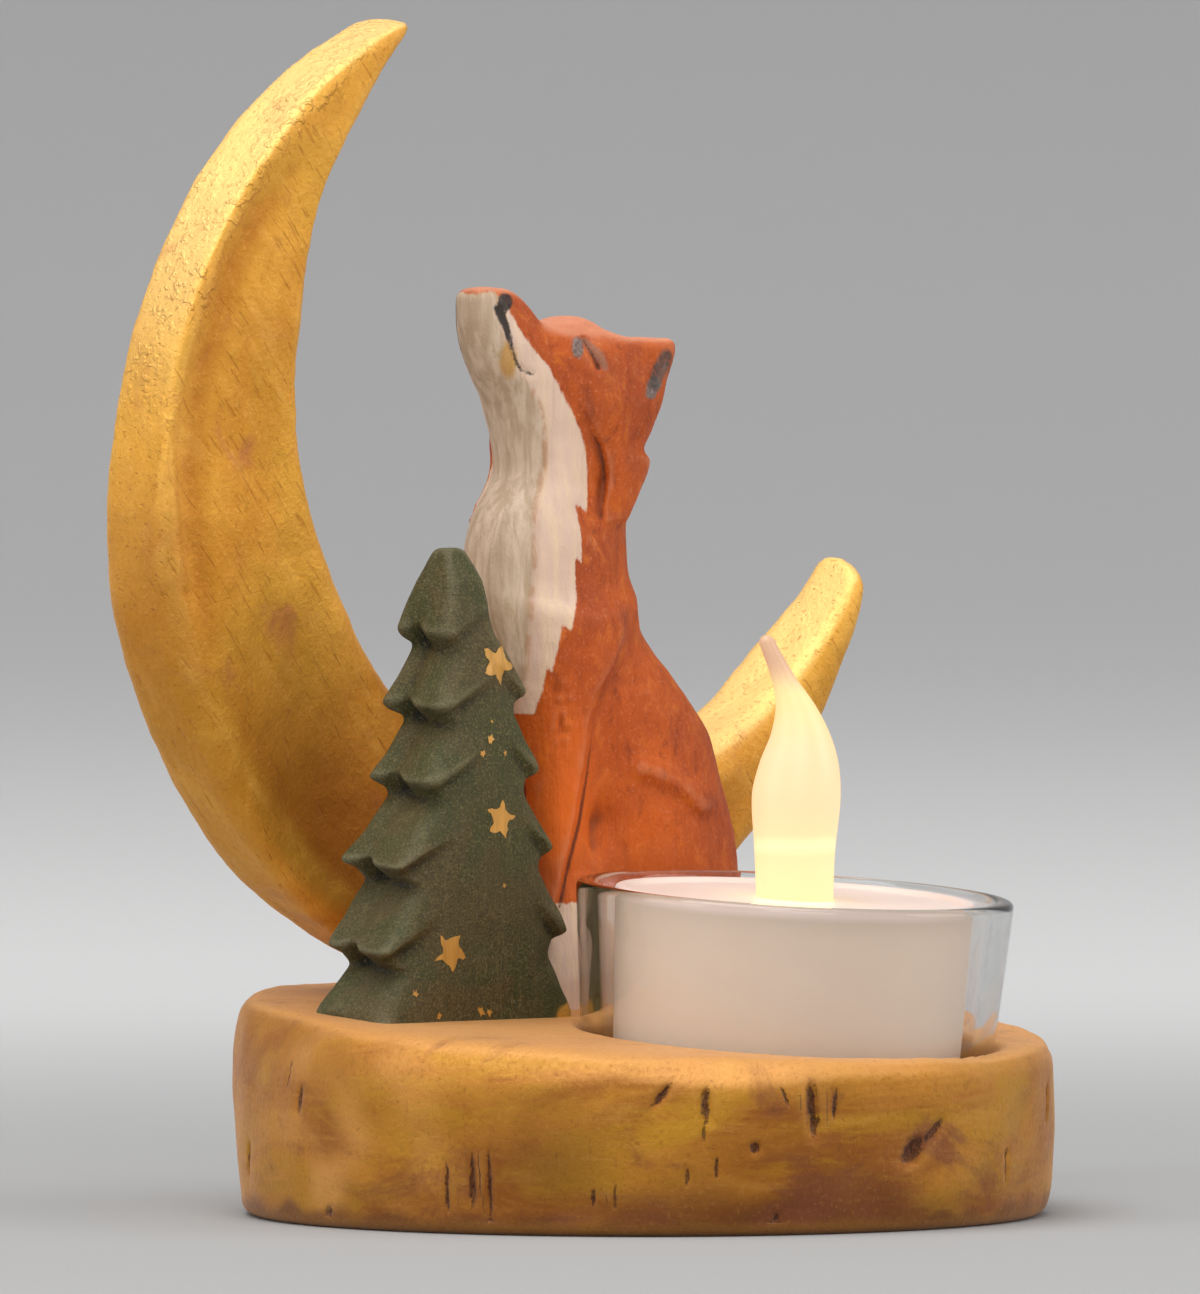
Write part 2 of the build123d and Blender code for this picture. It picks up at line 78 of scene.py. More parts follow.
def surfaceNet(field, low, step):
    inside = field < 0
    nx, ny, nz = (n - 1 for n in field.shape)
    corners = [(i, j, k) for i in (0, 1) for j in (0, 1) for k in (0, 1)]
    count = sum(inside[i:i + nx, j:j + ny, k:k + nz].astype(np.int8) for i, j, k in corners)
    cells = np.argwhere((count > 0) & (count < 8))
    values = np.stack([field[tuple((cells + corner).T)] for corner in corners], axis=1)
    total, hits = np.zeros((len(cells), 3)), np.zeros(len(cells))
    for a in range(8):
        for axis, bit in enumerate((4, 2, 1)):
            if a & bit:
                continue
            va, vb = values[:, a], values[:, a | bit]
            cross = (va < 0) != (vb < 0)
            share = np.where(cross, va / np.where(cross, va - vb, 1), 0)
            point = np.array(corners[a], float) + share[:, None] * np.eye(3)[axis]
            total += cross[:, None] * point
            hits += cross
    verts = np.array(low) + step * (cells + total / hits[:, None])
    index = np.full((nx, ny, nz), -1, np.int64)
    index[tuple(cells.T)] = np.arange(len(cells))
    quads = []
    for axis in range(3):
        near = inside[tuple(slice(0, -1) if n == axis else slice(1, -1) for n in range(3))]
        far = inside[tuple(slice(1, None) if n == axis else slice(1, -1) for n in range(3))]
        others = [n for n in range(3) if n != axis]
        for filled, flip in ((near & ~far, axis == 1), (far & ~near, axis != 1)):
            spots = np.argwhere(filled)
            ring = []
            for one, two in ((1, 1), (0, 1), (0, 0), (1, 0)):
                cell = spots.copy()
                cell[:, others[0]] += one
                cell[:, others[1]] += two
                ring.append(index[tuple(cell.T)])
            quads.append(np.stack(ring[::-1] if flip else ring, axis=1))
    return verts, np.concatenate(quads)


def carvedMesh(field, plan):
    grid = fieldGrid(plan["low"], plan["high"], plan["step"])
    return surfaceNet(field(*grid, plan), plan["low"], plan["step"])


def faceNormals(verts, quads):
    a, b, c, d = (verts[quads[:, n]] for n in range(4))
    cross = np.cross(c - a, d - b)
    normals = np.zeros_like(verts)
    for n in range(4):
        np.add.at(normals, quads[:, n], cross)
    return normals / np.maximum(np.linalg.norm(normals, axis=1, keepdims=True), 1e-9)


def relax(values, quads, rounds):
    weight = np.zeros(len(values))
    for n in range(4):
        np.add.at(weight, quads[:, n], 2)
    for _ in range(rounds):
        total = np.zeros_like(values)
        for n in range(4):
            np.add.at(total, quads[:, n], values[quads[:, n - 1]] + values[quads[:, (n + 1) % 4]])
        values = total / (weight[:, None] if values.ndim > 1 else weight)
    return values


def hollows(verts, quads, rounds):
    moved = relax(verts, quads, rounds) - verts
    return (moved * faceNormals(verts, quads)).sum(axis=1)  # over 0 in grooves


def wobble(verts, size, seed):
    shift = Vector((seed * 7.3, seed * 3.1, seed * 5.7))
    scale = np.asarray(size, float) * np.ones(3)
    return np.array([noise.noise(Vector(p) + shift) for p in (verts / scale).tolist()])


def carving(verts, rows):
    return sum(depth * wobble(verts, size, seed) for depth, size, seed in rows)


def pushed(verts, normals, amount):
    return verts + normals * amount[:, None]


def standing(local, place):
    return local + np.array([*place, groundLevel(place[1])])


def lineDistance(px, py, points):
    best = np.full(np.broadcast(px, py).shape, 1e9)
    for (ax, ay), (bx, by) in zip(points[:-1], points[1:]):
        dx, dy = bx - ax, by - ay
        t = np.clip(((px - ax) * dx + (py - ay) * dy) / (dx * dx + dy * dy), 0, 1)
        best = np.minimum(best, np.hypot(px - ax - t * dx, py - ay - t * dy))
    return best


def areaDistance(px, py, points):
    inside = np.zeros(px.shape, bool)
    for (ax, ay), (bx, by) in zip(points, points[1:] + points[:1]):
        if ay == by:
            continue
        inside ^= ((ay > py) != (by > py)) & (px < (bx - ax) * (py - ay) / (by - ay) + ax)
    return np.where(inside, 1, -1) * lineDistance(px, py, points + points[:1])  # over 0 inside


def makePiece(name, verts, faces, material, body, nodes, values=None):
    mesh = bpy.data.meshes.new(name)
    mesh.from_pydata((np.asarray(verts) * mm).tolist(), [], [list(face) for face in faces])
    for key, data in (values or {}).items():
        layer = mesh.attributes.new(key, "FLOAT", "POINT")
        layer.data.foreach_set("value", np.asarray(data, np.float32))
    mesh.materials.append(material)
    mesh.polygons.foreach_set("use_smooth", [True] * len(mesh.polygons))
    obj = bpy.data.objects.new(name, mesh)
    bpy.context.scene.collection.objects.link(obj)
    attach(obj, body)
    if nodes:
        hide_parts(*nodes)
    print(name, len(verts), "points")
    return obj


def turnedPiece(name, rows, origin, segments, material, body, nodes):
    verts, faces, rings = [], [], []
    for row in rows:
        radius, height, shift = (*row, 0.0)[:3]
        middle = np.array(origin) + slopeUp * height - acrossX * shift + slopeBack * shift
        if radius == 0:
            rings.append([len(verts)])
            verts.append(middle)
            continue
        rings.append(range(len(verts), len(verts) + segments))
        for n in range(segments):
            angle = 2 * math.pi * n / segments
            verts.append(middle + radius * (math.cos(angle) * acrossX + math.sin(angle) * slopeBack))
    pairs = list(zip(rings[:-1], rings[1:]))
    if len(rings[0]) > 1:
        pairs.append((rings[-1], rings[0]))  # a ring-shaped section closes on itself
    for low, high in pairs:
        for n in range(segments):
            m = (n + 1) % segments
            if len(low) == 1:
                faces.append((low[0], high[m], high[n]))
            elif len(high) == 1:
                faces.append((low[n], low[m], high[0]))
            else:
                faces.append((low[n], low[m], high[m], high[n]))
    return makePiece(name, verts, faces, material, body, nodes)


def roundedRows(corners, arcs=6):
    rows = []
    for n, (radius, height, *rounding) in enumerate(corners):
        here = np.array([radius, height])
        if not rounding:
            rows.append((radius, height))
            continue
        before = np.array(corners[n - 1][:2]) - here
        after = np.array(corners[(n + 1) % len(corners)][:2]) - here
        start = here + before / np.linalg.norm(before) * rounding[0]
        end = here + after / np.linalg.norm(after) * rounding[0]
        for step in range(arcs + 1):
            t = step / arcs
            rows.append(tuple((1 - t) ** 2 * start + 2 * t * (1 - t) * here + t * t * end))
    return rows


def smoothRows(rows, count=9):
    rows = np.array(rows, float)
    padded = np.concatenate([2 * rows[:1] - rows[1:2], rows, 2 * rows[-1:] - rows[-2:-1]])
    result = []
    for n in range(1, len(padded) - 2):
        p0, p1, p2, p3 = padded[n - 1:n + 3]
        for t in np.linspace(0, 1, count, endpoint=n == len(padded) - 3):
            bend, twist = 2 * p0 - 5 * p1 + 4 * p2 - p3, 3 * p1 - p0 - 3 * p2 + p3
            row = 0.5 * (2 * p1 + (p2 - p0) * t + bend * t * t + twist * t ** 3)
            row[0] = p1[0] + (p2[0] - p1[0]) * t
            result.append(row)
    return np.array(result)


# Shader building

class NodeKit:
    def __init__(self, tree):
        self.tree = tree

    def put(self, socket, value):
        if isinstance(value, bpy.types.NodeSocket):
            self.tree.links.new(value, socket)
        elif socket.type == "RGBA":
            socket.default_value = (*value[:3], 1.0)
        else:
            socket.default_value = value

    def add(self, kind, inputs=None, **settings):
        node = self.tree.nodes.new("ShaderNode" + kind)
        for key, value in settings.items():
            setattr(node, key, value)
        for key, value in (inputs or {}).items():
            self.put(node.inputs[key], value)
        return node

    def place(self):
        return self.add("TexCoord").outputs["Object"]

    def scaled(self, vector, scale):
        return self.add("Mapping", {"Vector": vector, "Scale": scale}).outputs[0]

    def turned(self, vector, turn):
        return self.add("Mapping", {"Vector": vector, "Rotation": turn}).outputs[0]

    def noise(self, vector, scale, detail=3.0, rough=0.55, bend=0.0):
        if isinstance(scale, tuple):  # a pattern stretched along the axes
            vector, scale = self.scaled(vector, scale), 1.0
        inputs = {"Vector": vector, "Scale": scale, "Detail": detail, "Roughness": rough, "Distortion": bend}
        return self.add("TexNoise", inputs).outputs["Fac"]

    def math(self, operation, a, b=0.0):
        return self.add("Math", {0: a, 1: b}, operation=operation).outputs[0]

    def step(self, value, low, high, start=0.0, end=1.0):
        inputs = {"Value": value, "From Min": low, "From Max": high, "To Min": start, "To Max": end}
        return self.add("MapRange", inputs, interpolation_type="SMOOTHSTEP").outputs[0]

    def swing(self, value, share):  # a noise, made to swing about zero
        return self.math("MULTIPLY", self.math("SUBTRACT", value, 0.5), share)

    def total(self, *parts):
        result = 0.0
        for value, weight in parts:
            result = self.math("ADD", result, self.math("MULTIPLY", value, weight))
        return result

    def mix(self, factor, a, b):
        return self.add("Mix", {0: factor, 6: a, 7: b}, data_type="RGBA").outputs[2]

    def layers(self, colour, rows):
        for mask, share, paint in rows:
            colour = self.mix(self.math("MULTIPLY", mask, share), colour, paint)
        return colour

    def value(self, name):
        return self.add("Attribute", attribute_name=name).outputs["Fac"]

    def group(self, group, inputs=None):
        node = self.add("Group", node_tree=group)
        for key, value in (inputs or {}).items():
            self.put(node.inputs[key], value)
        return node.outputs


def newMaterial(name):
    material = bpy.data.materials.new(name)
    material.use_nodes = True
    material.node_tree.nodes.clear()
    return material, NodeKit(material.node_tree)


def finishMaterial(kit, inputs, height=None, depth=0.0002, strength=0.6):
    if height is not None:
        bump = kit.add("Bump", {"Height": height, "Distance": depth, "Strength": strength})
        inputs = {**inputs, "Normal": bump.outputs[0]}
    shader = kit.add("BsdfPrincipled", inputs)
    kit.add("OutputMaterial", {"Surface": shader.outputs[0]})


def newGroup(name, inputs, outputs):
    group = bpy.data.node_groups.new(name, "ShaderNodeTree")
    for key, default in inputs.items():
        group.interface.new_socket(key, in_out="INPUT", socket_type="NodeSocketFloat").default_value = default
    for key in outputs:
        group.interface.new_socket(key, in_out="OUTPUT", socket_type="NodeSocketFloat")
    kit = NodeKit(group)
    return group, kit, group.nodes.new("NodeGroupInput").outputs


def closeGroup(group, kit, results):
    end = group.nodes.new("NodeGroupOutput")
    for key, socket in results.items():
        kit.put(end.inputs[key], socket)


def brushGroup():
    outputs = ["Streak", "Blotch", "Fleck", "HollowShade", "RidgeWearAndHighlight", "Height"]
    group, kit, given = newGroup("brushwork", {"Size": 1.0, "Hollow": 0.0}, outputs)
    place = kit.add("VectorMath", {0: kit.place(), "Scale": given["Size"]}, operation="SCALE").outputs[0]
    streak = kit.noise(place, (900, 900, 70), 4.0, 0.6, 0.3)
    blotch = kit.noise(place, 75.0, 4.0, 0.6, 0.6)
    fleck = kit.noise(place, 2600.0, 2.0, 0.7)
    grain = kit.noise(place, (2400, 2400, 160), 2.0, 0.5)
    edge = kit.math("ADD", given["Hollow"], kit.swing(blotch, 0.06))
    # The hollow mask paints shade, darker in grooves and hollows. The ridge mask is paler paint on ridges,
    # part wear and part painted highlight.
    closeGroup(group, kit, {
        "Streak": streak, "Blotch": blotch, "Fleck": fleck,
        "HollowShade": kit.step(edge, 0.02, 0.22), "RidgeWearAndHighlight": kit.step(edge, -0.03, -0.2),
        "Height": kit.total((streak, 0.6), (grain, 0.35), (fleck, 0.25))})
    return group


brushwork = brushGroup()


def slitMask(kit, place):
    ragged = kit.noise(place, (1500, 1500, 800), 4.0, 0.7)
    wide = kit.math("ADD", kit.value("slitAcross"), kit.swing(ragged, 4.0))
    tall = kit.math("ABSOLUTE", kit.math("ADD", kit.value("slitUp"), kit.swing(ragged, 1.2)))
    narrow = kit.math("ADD", kit.math("ABSOLUTE", wide), kit.math("MULTIPLY", tall, 0.4))
    mask = kit.math("MULTIPLY", kit.step(narrow, 1.1, 0.5), kit.value("slitNear"))
    return kit.math("MULTIPLY", mask, kit.step(tall, 1.15, 0.55))


def goldMaterial(name, look):
    material, kit = newMaterial(name)
    brush = kit.group(brushwork, {"Size": 1.0, "Hollow": kit.value("hollow")})
    place = kit.place()
    lined = kit.turned(place, look["toolTurn"])
    tool = kit.step(kit.noise(lined, look["toolScale"], 2.0, 0.5), 0.61, 0.73)
    stroke = kit.noise(lined, look["strokeScale"], 4.0, 0.6, 0.4)
    stipple = kit.noise(place, 1700.0, 3.0, 0.7)
    cloud = kit.noise(place, look["cloudScale"], 4.0, 0.6, 0.8)
    glaze = kit.noise(place, look["glazeScale"], 4.0, 0.6, 1.0)
    stain = kit.noise(place, look["stainScale"], 5.0, 0.7, 1.2)
    marked = kit.total((stain, 1.0), (kit.value("stain"), 0.3))
    pimple = kit.step(kit.noise(place, 1050.0, 2.0, 0.5), 0.5, 0.66, 0.0, 1.5)
    slit = slitMask(kit, place)
    colour = kit.mix(kit.step(cloud, 0.36, 0.64), look["deep"], look["bright"])
    colour = kit.layers(colour, [
        (kit.step(glaze, 0.48, 0.66), look["glaze"], look["green"]),
        (kit.step(stroke, 0.5, 0.75), 0.3, look["light"]),
        (kit.step(stroke, 0.48, 0.25), 0.5, look["green"]),
        # painted light: faces that look up, and the lit spots each piece marks, take the top colour
        (kit.step(kit.value("sun"), 0.0, 1.0), 0.75, look["top"]),
        # darker where marked: soil and painted shade together
        (kit.step(kit.value("soilAndShade"), 0.0, 1.0), 0.85, look["brown"]),
        (kit.step(marked, 0.54, 0.8), look["staining"], look["maroon"]),
        # painted shade in grooves and hollows
        (brush["HollowShade"], 0.6, look["brown"]),
        # paler ridges, part wear and part painted highlight
        (brush["RidgeWearAndHighlight"], 0.3, look["light"]),
        (kit.step(stipple, 0.56, 0.72), 0.2, look["light"]),
        (kit.step(stipple, 0.42, 0.28), 0.35, look["brown"]),
        (tool, look["tooling"], look["brown"]),
        (slit, kit.step(stipple, 0.35, 0.6, 0.95, 0.5), look["pit"])])
    relief = kit.total((brush["Height"], 0.4), (stipple, look["grit"]), (tool, -look["tooling"]),
                       (kit.value("rough"), pimple), (slit, -1.6))
    inputs = {"Base Color": colour, "Metallic": look["metal"], "Specular IOR Level": 0.3,
              "Sheen Weight": 0.5, "Sheen Roughness": 0.4, "Sheen Tint": look["edge"],
              "Roughness": kit.step(stipple, 0.3, 0.7, 0.62, 0.45)}
    finishMaterial(kit, inputs, relief, 0.00026, 0.7)
    return material


# top is the colour of the painted light; brown also paints shade in hollows and low down
baseGold = goldMaterial("baseGold", {
    "deep": (0.27, 0.085, 0.005), "bright": (0.46, 0.19, 0.016), "green": (0.43, 0.215, 0.007),
    "light": (0.58, 0.28, 0.055), "maroon": (0.19, 0.055, 0.019), "brown": (0.125, 0.034, 0.009),
    "pit": (0.045, 0.013, 0.006), "top": (0.7, 0.34, 0.1), "edge": (0.7, 0.42, 0.28),
    "metal": 0.35, "glaze": 0.65, "staining": 0.75, "tooling": 0.1, "grit": 0.45,
    "cloudScale": (40, 40, 90), "glazeScale": (45, 45, 120), "stainScale": (70, 70, 120),
    "toolTurn": (0.0, 0.0, 0.0), "toolScale": (1900, 1900, 200), "strokeScale": (120, 120, 800)})
moonGold = goldMaterial("moonGold", {
    "deep": (0.6, 0.255, 0.02), "bright": (0.78, 0.395, 0.05), "green": (0.55, 0.275, 0.02),
    "light": (0.88, 0.5, 0.11), "maroon": (0.4, 0.12, 0.05), "brown": (0.36, 0.092, 0.002),
    "pit": (0.05, 0.02, 0.01), "top": (0.95, 0.66, 0.24), "edge": (0.8, 0.45, 0.2),
    "metal": 0.4, "glaze": 0.35, "staining": 0.6, "tooling": 0.35, "grit": 0.7,
    "cloudScale": (38, 38, 30), "glazeScale": (70, 70, 60), "stainScale": (110, 110, 90),
    "toolTurn": (0.0, math.radians(-50.7), 0.0), "toolScale": (240, 1400, 2500),
    "strokeScale": (60, 420, 520)})

# the groove colours paint shade, the brightest orange and the crown colour paint light, and the worn colour
# is part wear, part painted highlight
foxPaints = {
    "rust": (0.36, 0.061, 0.01), "orange": (0.5, 0.092, 0.008), "orangeLight": (0.62, 0.15, 0.01),
    "orangeDark": (0.23, 0.042, 0.012), "brushDark": (0.25, 0.045, 0.012), "fleckPale": (0.6, 0.22, 0.12),
    "fleckDark": (0.2, 0.036, 0.01), "orangePaintedLight": (0.72, 0.138, 0.01), "groove": (0.15, 0.03, 0.01),
    "wornAndLit": (0.6, 0.24, 0.13), "crownPaintedLight": (0.72, 0.33, 0.2),
    "white": (0.66, 0.475, 0.375), "cream": (0.72, 0.53, 0.37), "whiteDark": (0.55, 0.38, 0.27),
    "tan": (0.46, 0.34, 0.23), "tanPale": (0.62, 0.48, 0.36), "tanDark": (0.36, 0.24, 0.15),
    "olive": (0.42, 0.31, 0.14), "seam": (0.42, 0.19, 0.08), "paleGroove": (0.36, 0.22, 0.12),
    "ochre": (0.5, 0.25, 0.04), "lid": (0.26, 0.13, 0.085), "brown": (0.085, 0.02, 0.009),
    "grey": (0.07, 0.06, 0.055), "greyPale": (0.22, 0.19, 0.17), "soot": (0.035, 0.03, 0.028),
    "sootPale": (0.14, 0.1, 0.08), "ink": (0.014, 0.012, 0.012), "inkPale": (0.055, 0.048, 0.044),
}


def foxMaterial(paints):
    material, kit = newMaterial("foxPaint")
    brush = kit.group(brushwork, {"Size": 1.0, "Hollow": kit.value("hollow")})
    streak, fleck = brush["Streak"], brush["Fleck"]
    mottle = kit.noise(kit.place(), (520, 520, 300), 5.0, 0.65, 0.6)

    def painted(name, soft, rough):
        edge = kit.math("ADD", kit.value(name), kit.swing(streak, rough))
        return kit.step(kit.math("ADD", edge, kit.swing(fleck, 0.3)), -soft, soft)

    orange = kit.mix(kit.step(brush["Blotch"], 0.35, 0.65), paints["rust"], paints["orange"])
    orange = kit.layers(orange, [
        (kit.step(mottle, 0.52, 0.72), 0.6, paints["orangeLight"]),
        (kit.step(mottle, 0.47, 0.3), 0.7, paints["orangeDark"]),
        (kit.step(streak, 0.5, 0.28), 0.35, paints["brushDark"]),
        (kit.step(fleck, 0.56, 0.74), 0.4, paints["fleckPale"]),
        (kit.step(fleck, 0.44, 0.28), 0.4, paints["fleckDark"]),
        # painted light on the leg and haunch
        (kit.value("bright"), 0.8, paints["orangePaintedLight"]),
        # painted shade in grooves and hollows
        (brush["HollowShade"], 0.7, paints["groove"]),
        # paler ridges, part wear and part painted highlight
        (brush["RidgeWearAndHighlight"], 0.3, paints["wornAndLit"]),
        # painted light on the top of the head
        (kit.value("sun"), 0.6, paints["crownPaintedLight"])])
    white = kit.mix(kit.step(streak, 0.4, 0.7), paints["white"], paints["cream"])
    white = kit.layers(white, [(kit.step(streak, 0.42, 0.25), 0.5, paints["whiteDark"])])
    tan = kit.mix(kit.step(streak, 0.38, 0.64), paints["tan"], paints["tanPale"])
    tan = kit.layers(tan, [
        (kit.step(mottle, 0.56, 0.74), 0.4, paints["olive"]),
        (kit.step(mottle, 0.42, 0.26), 0.3, paints["tanDark"])])
    rim = kit.math("ABSOLUTE", kit.math("ADD", kit.value("tan"), kit.swing(streak, 0.8)))
    seam = kit.math("MULTIPLY", kit.step(rim, 0.5, 0.1), kit.step(mottle, 0.42, 0.6))
    pale = kit.mix(painted("tan", 0.3, 0.96), white, tan)
    # the white and tan paints take painted shade in the grooves too
    pale = kit.layers(pale, [(seam, 0.55, paints["seam"]), (brush["HollowShade"], 0.5, paints["paleGroove"])])
    grey = kit.mix(kit.step(fleck, 0.3, 0.7), paints["grey"], paints["greyPale"])
    soot = kit.mix(kit.step(mottle, 0.35, 0.65), paints["soot"], paints["sootPale"])
    ink = kit.mix(kit.step(mottle, 0.5, 0.7), paints["ink"], paints["inkPale"])
    sooty = kit.math("MULTIPLY", painted("soot", 0.3, 0.8), kit.step(fleck, 0.2, 0.55, 0.45, 1.0))
    colour = kit.mix(painted("white", 0.14, 0.8), orange, pale)
    colour = kit.layers(colour, [
        (painted("ochre", 0.3, 0.8), 0.8, paints["ochre"]),
        (painted("lid", 0.2, 0.48), 0.7, paints["lid"]),
        # the painted eye slit, and painted shade along the cheek and leg creases
        (painted("brown", 0.12, 0.32), 0.85, paints["brown"]),
        (painted("grey", 0.18, 0.48), 0.9, grey),
        (sooty, 0.92, soot),
        (painted("ink", 0.14, 0.4), 0.95, ink)])
    relief = kit.total((brush["Height"], 1.0), (mottle, 0.7))
    inputs = {"Base Color": colour, "Roughness": kit.step(mottle, 0.3, 0.7, 0.68, 0.5),
              "Specular IOR Level": 0.22}
    finishMaterial(kit, inputs, relief, 0.0003, 0.7)
    return material


# the groove colour paints shade; the worn colour is part wear and dust, part painted highlight
treePaints = {
    "bark": (0.072, 0.052, 0.017), "needle": (0.042, 0.046, 0.011), "brushPale": (0.115, 0.086, 0.034),
    "gritDark": (0.03, 0.032, 0.013), "groove": (0.01, 0.01, 0.006), "wornAndLit": (0.16, 0.14, 0.075),
    "dustPale": (0.175, 0.146, 0.07), "dustDark": (0.03, 0.03, 0.014), "gilt": (0.48, 0.24, 0.035),
}


def treeMaterial(paints):
    material, kit = newMaterial("treePaint")
    brush = kit.group(brushwork, {"Size": 1.2, "Hollow": kit.value("hollow")})
    place = kit.place()
    dust = kit.noise(place, 4200.0, 1.0, 0.6)
    grit = kit.noise(place, 1500.0, 3.0, 0.7)
    colour = kit.mix(kit.step(brush["Blotch"], 0.38, 0.6), paints["bark"], paints["needle"])
    colour = kit.layers(colour, [
        (kit.step(brush["Streak"], 0.5, 0.72), 0.5, paints["brushPale"]),
        (kit.step(grit, 0.45, 0.3), 0.6, paints["gritDark"]),
        # painted shade, near black, in grooves and under the tiers
        (brush["HollowShade"], 1.0, paints["groove"]),
        # paler ridges, part wear and dust, part painted highlight
        (brush["RidgeWearAndHighlight"], 0.6, paints["wornAndLit"]),
        (kit.step(dust, 0.5, 0.7), 0.55, paints["dustPale"]),
        (kit.step(dust, 0.48, 0.34), 0.5, paints["dustDark"]),
        (kit.step(kit.value("gilt"), -0.25, 0.25), 1.0, paints["gilt"])])
    relief = kit.total((brush["Height"], 1.0), (grit, 1.0), (dust, 0.5))
    inputs = {"Base Color": colour, "Roughness": kit.step(dust, 0.4, 0.7, 0.62, 0.85),
              "Specular IOR Level": 0.3}
    finishMaterial(kit, inputs, relief, 0.0003, 0.7)
    return material


def starMaterial():
    material, kit = newMaterial("starGold")
    brush = kit.group(brushwork, {"Size": 2.0})
    colour = kit.mix(kit.step(brush["Streak"], 0.35, 0.65), (0.42, 0.205, 0.03), (0.52, 0.265, 0.045))
    rough = kit.step(brush["Fleck"], 0.3, 0.7, 0.5, 0.35)
    inputs = {"Base Color": colour, "Metallic": 0.2, "Roughness": rough}
    finishMaterial(kit, inputs, brush["Height"], 0.0001, 0.5)
    return material


def plasticMaterial(name, colour, rough, side=None):
    material, kit = newMaterial(name)
    place = kit.place()
    cloud = kit.noise(place, 120.0, 3.0)
    grain = kit.noise(place, 5200.0, 2.0)
    tone = kit.mix(kit.step(cloud, 0.35, 0.7, 0.0, 0.12), colour, tuple(0.8 * c for c in colour))
    # side: painted shade, the shell's side darker than its top
    if side:
        level = kit.add("VectorMath", {0: place, 1: slopeUp}, operation="DOT_PRODUCT").outputs["Value"]
        tone = kit.mix(kit.step(level, side["low"] * mm, side["high"] * mm), side["colour"], tone)
    inputs = {"Base Color": tone, "Roughness": kit.step(grain, 0.3, 0.7, rough - 0.05, rough + 0.08),
              "Subsurface Weight": 0.15, "Subsurface Radius": (1.0, 0.7, 0.5), "Subsurface Scale": 0.002}
    finishMaterial(kit, inputs, grain, 0.00003, 0.4)
    return material


def glassMaterial():
    material, kit = newMaterial("clearGlass")
    place = kit.place()
    ripple = kit.noise(place, (60, 60, 25), 2.0)
    smear = kit.step(kit.noise(place, 300.0, 4.0, 0.65), 0.55, 0.8, 0.0, 0.05)
    inputs = {"Base Color": (0.985, 0.992, 0.985), "Roughness": smear, "IOR": 1.16,
              "Transmission Weight": 1.0, "Coat Weight": 0.7, "Coat Roughness": 0.04, "Coat IOR": 1.45}
    finishMaterial(kit, inputs, ripple, 0.0004, 0.25)
    return material


def flameMaterial(foot, tall):
    material, kit = newMaterial("flamePlastic")
    place = kit.place()
    parts = kit.add("SeparateXYZ", {0: place})
    height = kit.math("DIVIDE", kit.math("SUBTRACT", parts.outputs[2], foot * mm), tall * mm)
    rise = kit.math("ADD", height, kit.swing(kit.noise(place, 160.0, 3.0), 0.06))
    line = kit.math("MULTIPLY", kit.step(rise, 0.15, 0.205), kit.step(rise, 0.25, 0.205))
    glow = kit.mix(kit.step(rise, 0.05, 0.4), (1.0, 0.92, 0.44), (1.0, 0.76, 0.42))
    glow = kit.layers(glow, [
        (line, 0.5, (1.0, 0.98, 0.54)),
        (kit.step(rise, 0.55, 0.8), 1.0, (1.0, 0.82, 0.34)),
        (kit.step(rise, 0.8, 0.92), 1.0, (0.95, 0.52, 0.32))])
    strength = kit.total((kit.step(rise, 0.78, 0.95, 0.8, 0.5), 1.0), (line, 0.1))
    seen = kit.add("LightPath").outputs["Is Camera Ray"]
    power = kit.math("MULTIPLY", strength, kit.step(seen, 0.0, 1.0, 2.5, 1.0))  # stronger on what it lights
    inputs = {"Base Color": (0.3, 0.2, 0.12), "Roughness": 0.4,
              "Emission Color": glow, "Emission Strength": power,
              "Sheen Weight": 0.5, "Sheen Roughness": 0.25, "Sheen Tint": (1.0, 0.45, 0.12)}
    finishMaterial(kit, inputs)
    return material


def metalMaterial(name, colour):
    material, kit = newMaterial(name)
    place = kit.place()
    brushed = kit.noise(place, (3000, 300, 300), 3.0)
    dull = kit.step(kit.noise(place, 260.0), 0.4, 0.7, 0.0, 0.3)
    tone = kit.mix(dull, colour, tuple(0.55 * c for c in colour))
    inputs = {"Base Color": tone, "Metallic": 1.0, "Roughness": kit.step(brushed, 0.3, 0.7, 0.22, 0.42)}
    finishMaterial(kit, inputs, brushed, 0.00003, 0.4)
    return material


def woodMaterial():
    material, kit = newMaterial("dowelWood")
    place = kit.place()
    rings = kit.noise(place, (900, 900, 60), 4.0, 0.6, 0.5)
    pores = kit.noise(place, (4000, 4000, 300), 2.0)
    colour = kit.mix(kit.step(rings, 0.35, 0.65), (0.5, 0.33, 0.18), (0.66, 0.48, 0.29))
    colour = kit.mix(kit.step(pores, 0.6, 0.75, 0.0, 0.5), colour, (0.3, 0.18, 0.09))
    finishMaterial(kit, {"Base Color": colour, "Roughness": 0.65}, kit.math("ADD", rings, pores), 0.0001, 0.5)
    return material


# Base

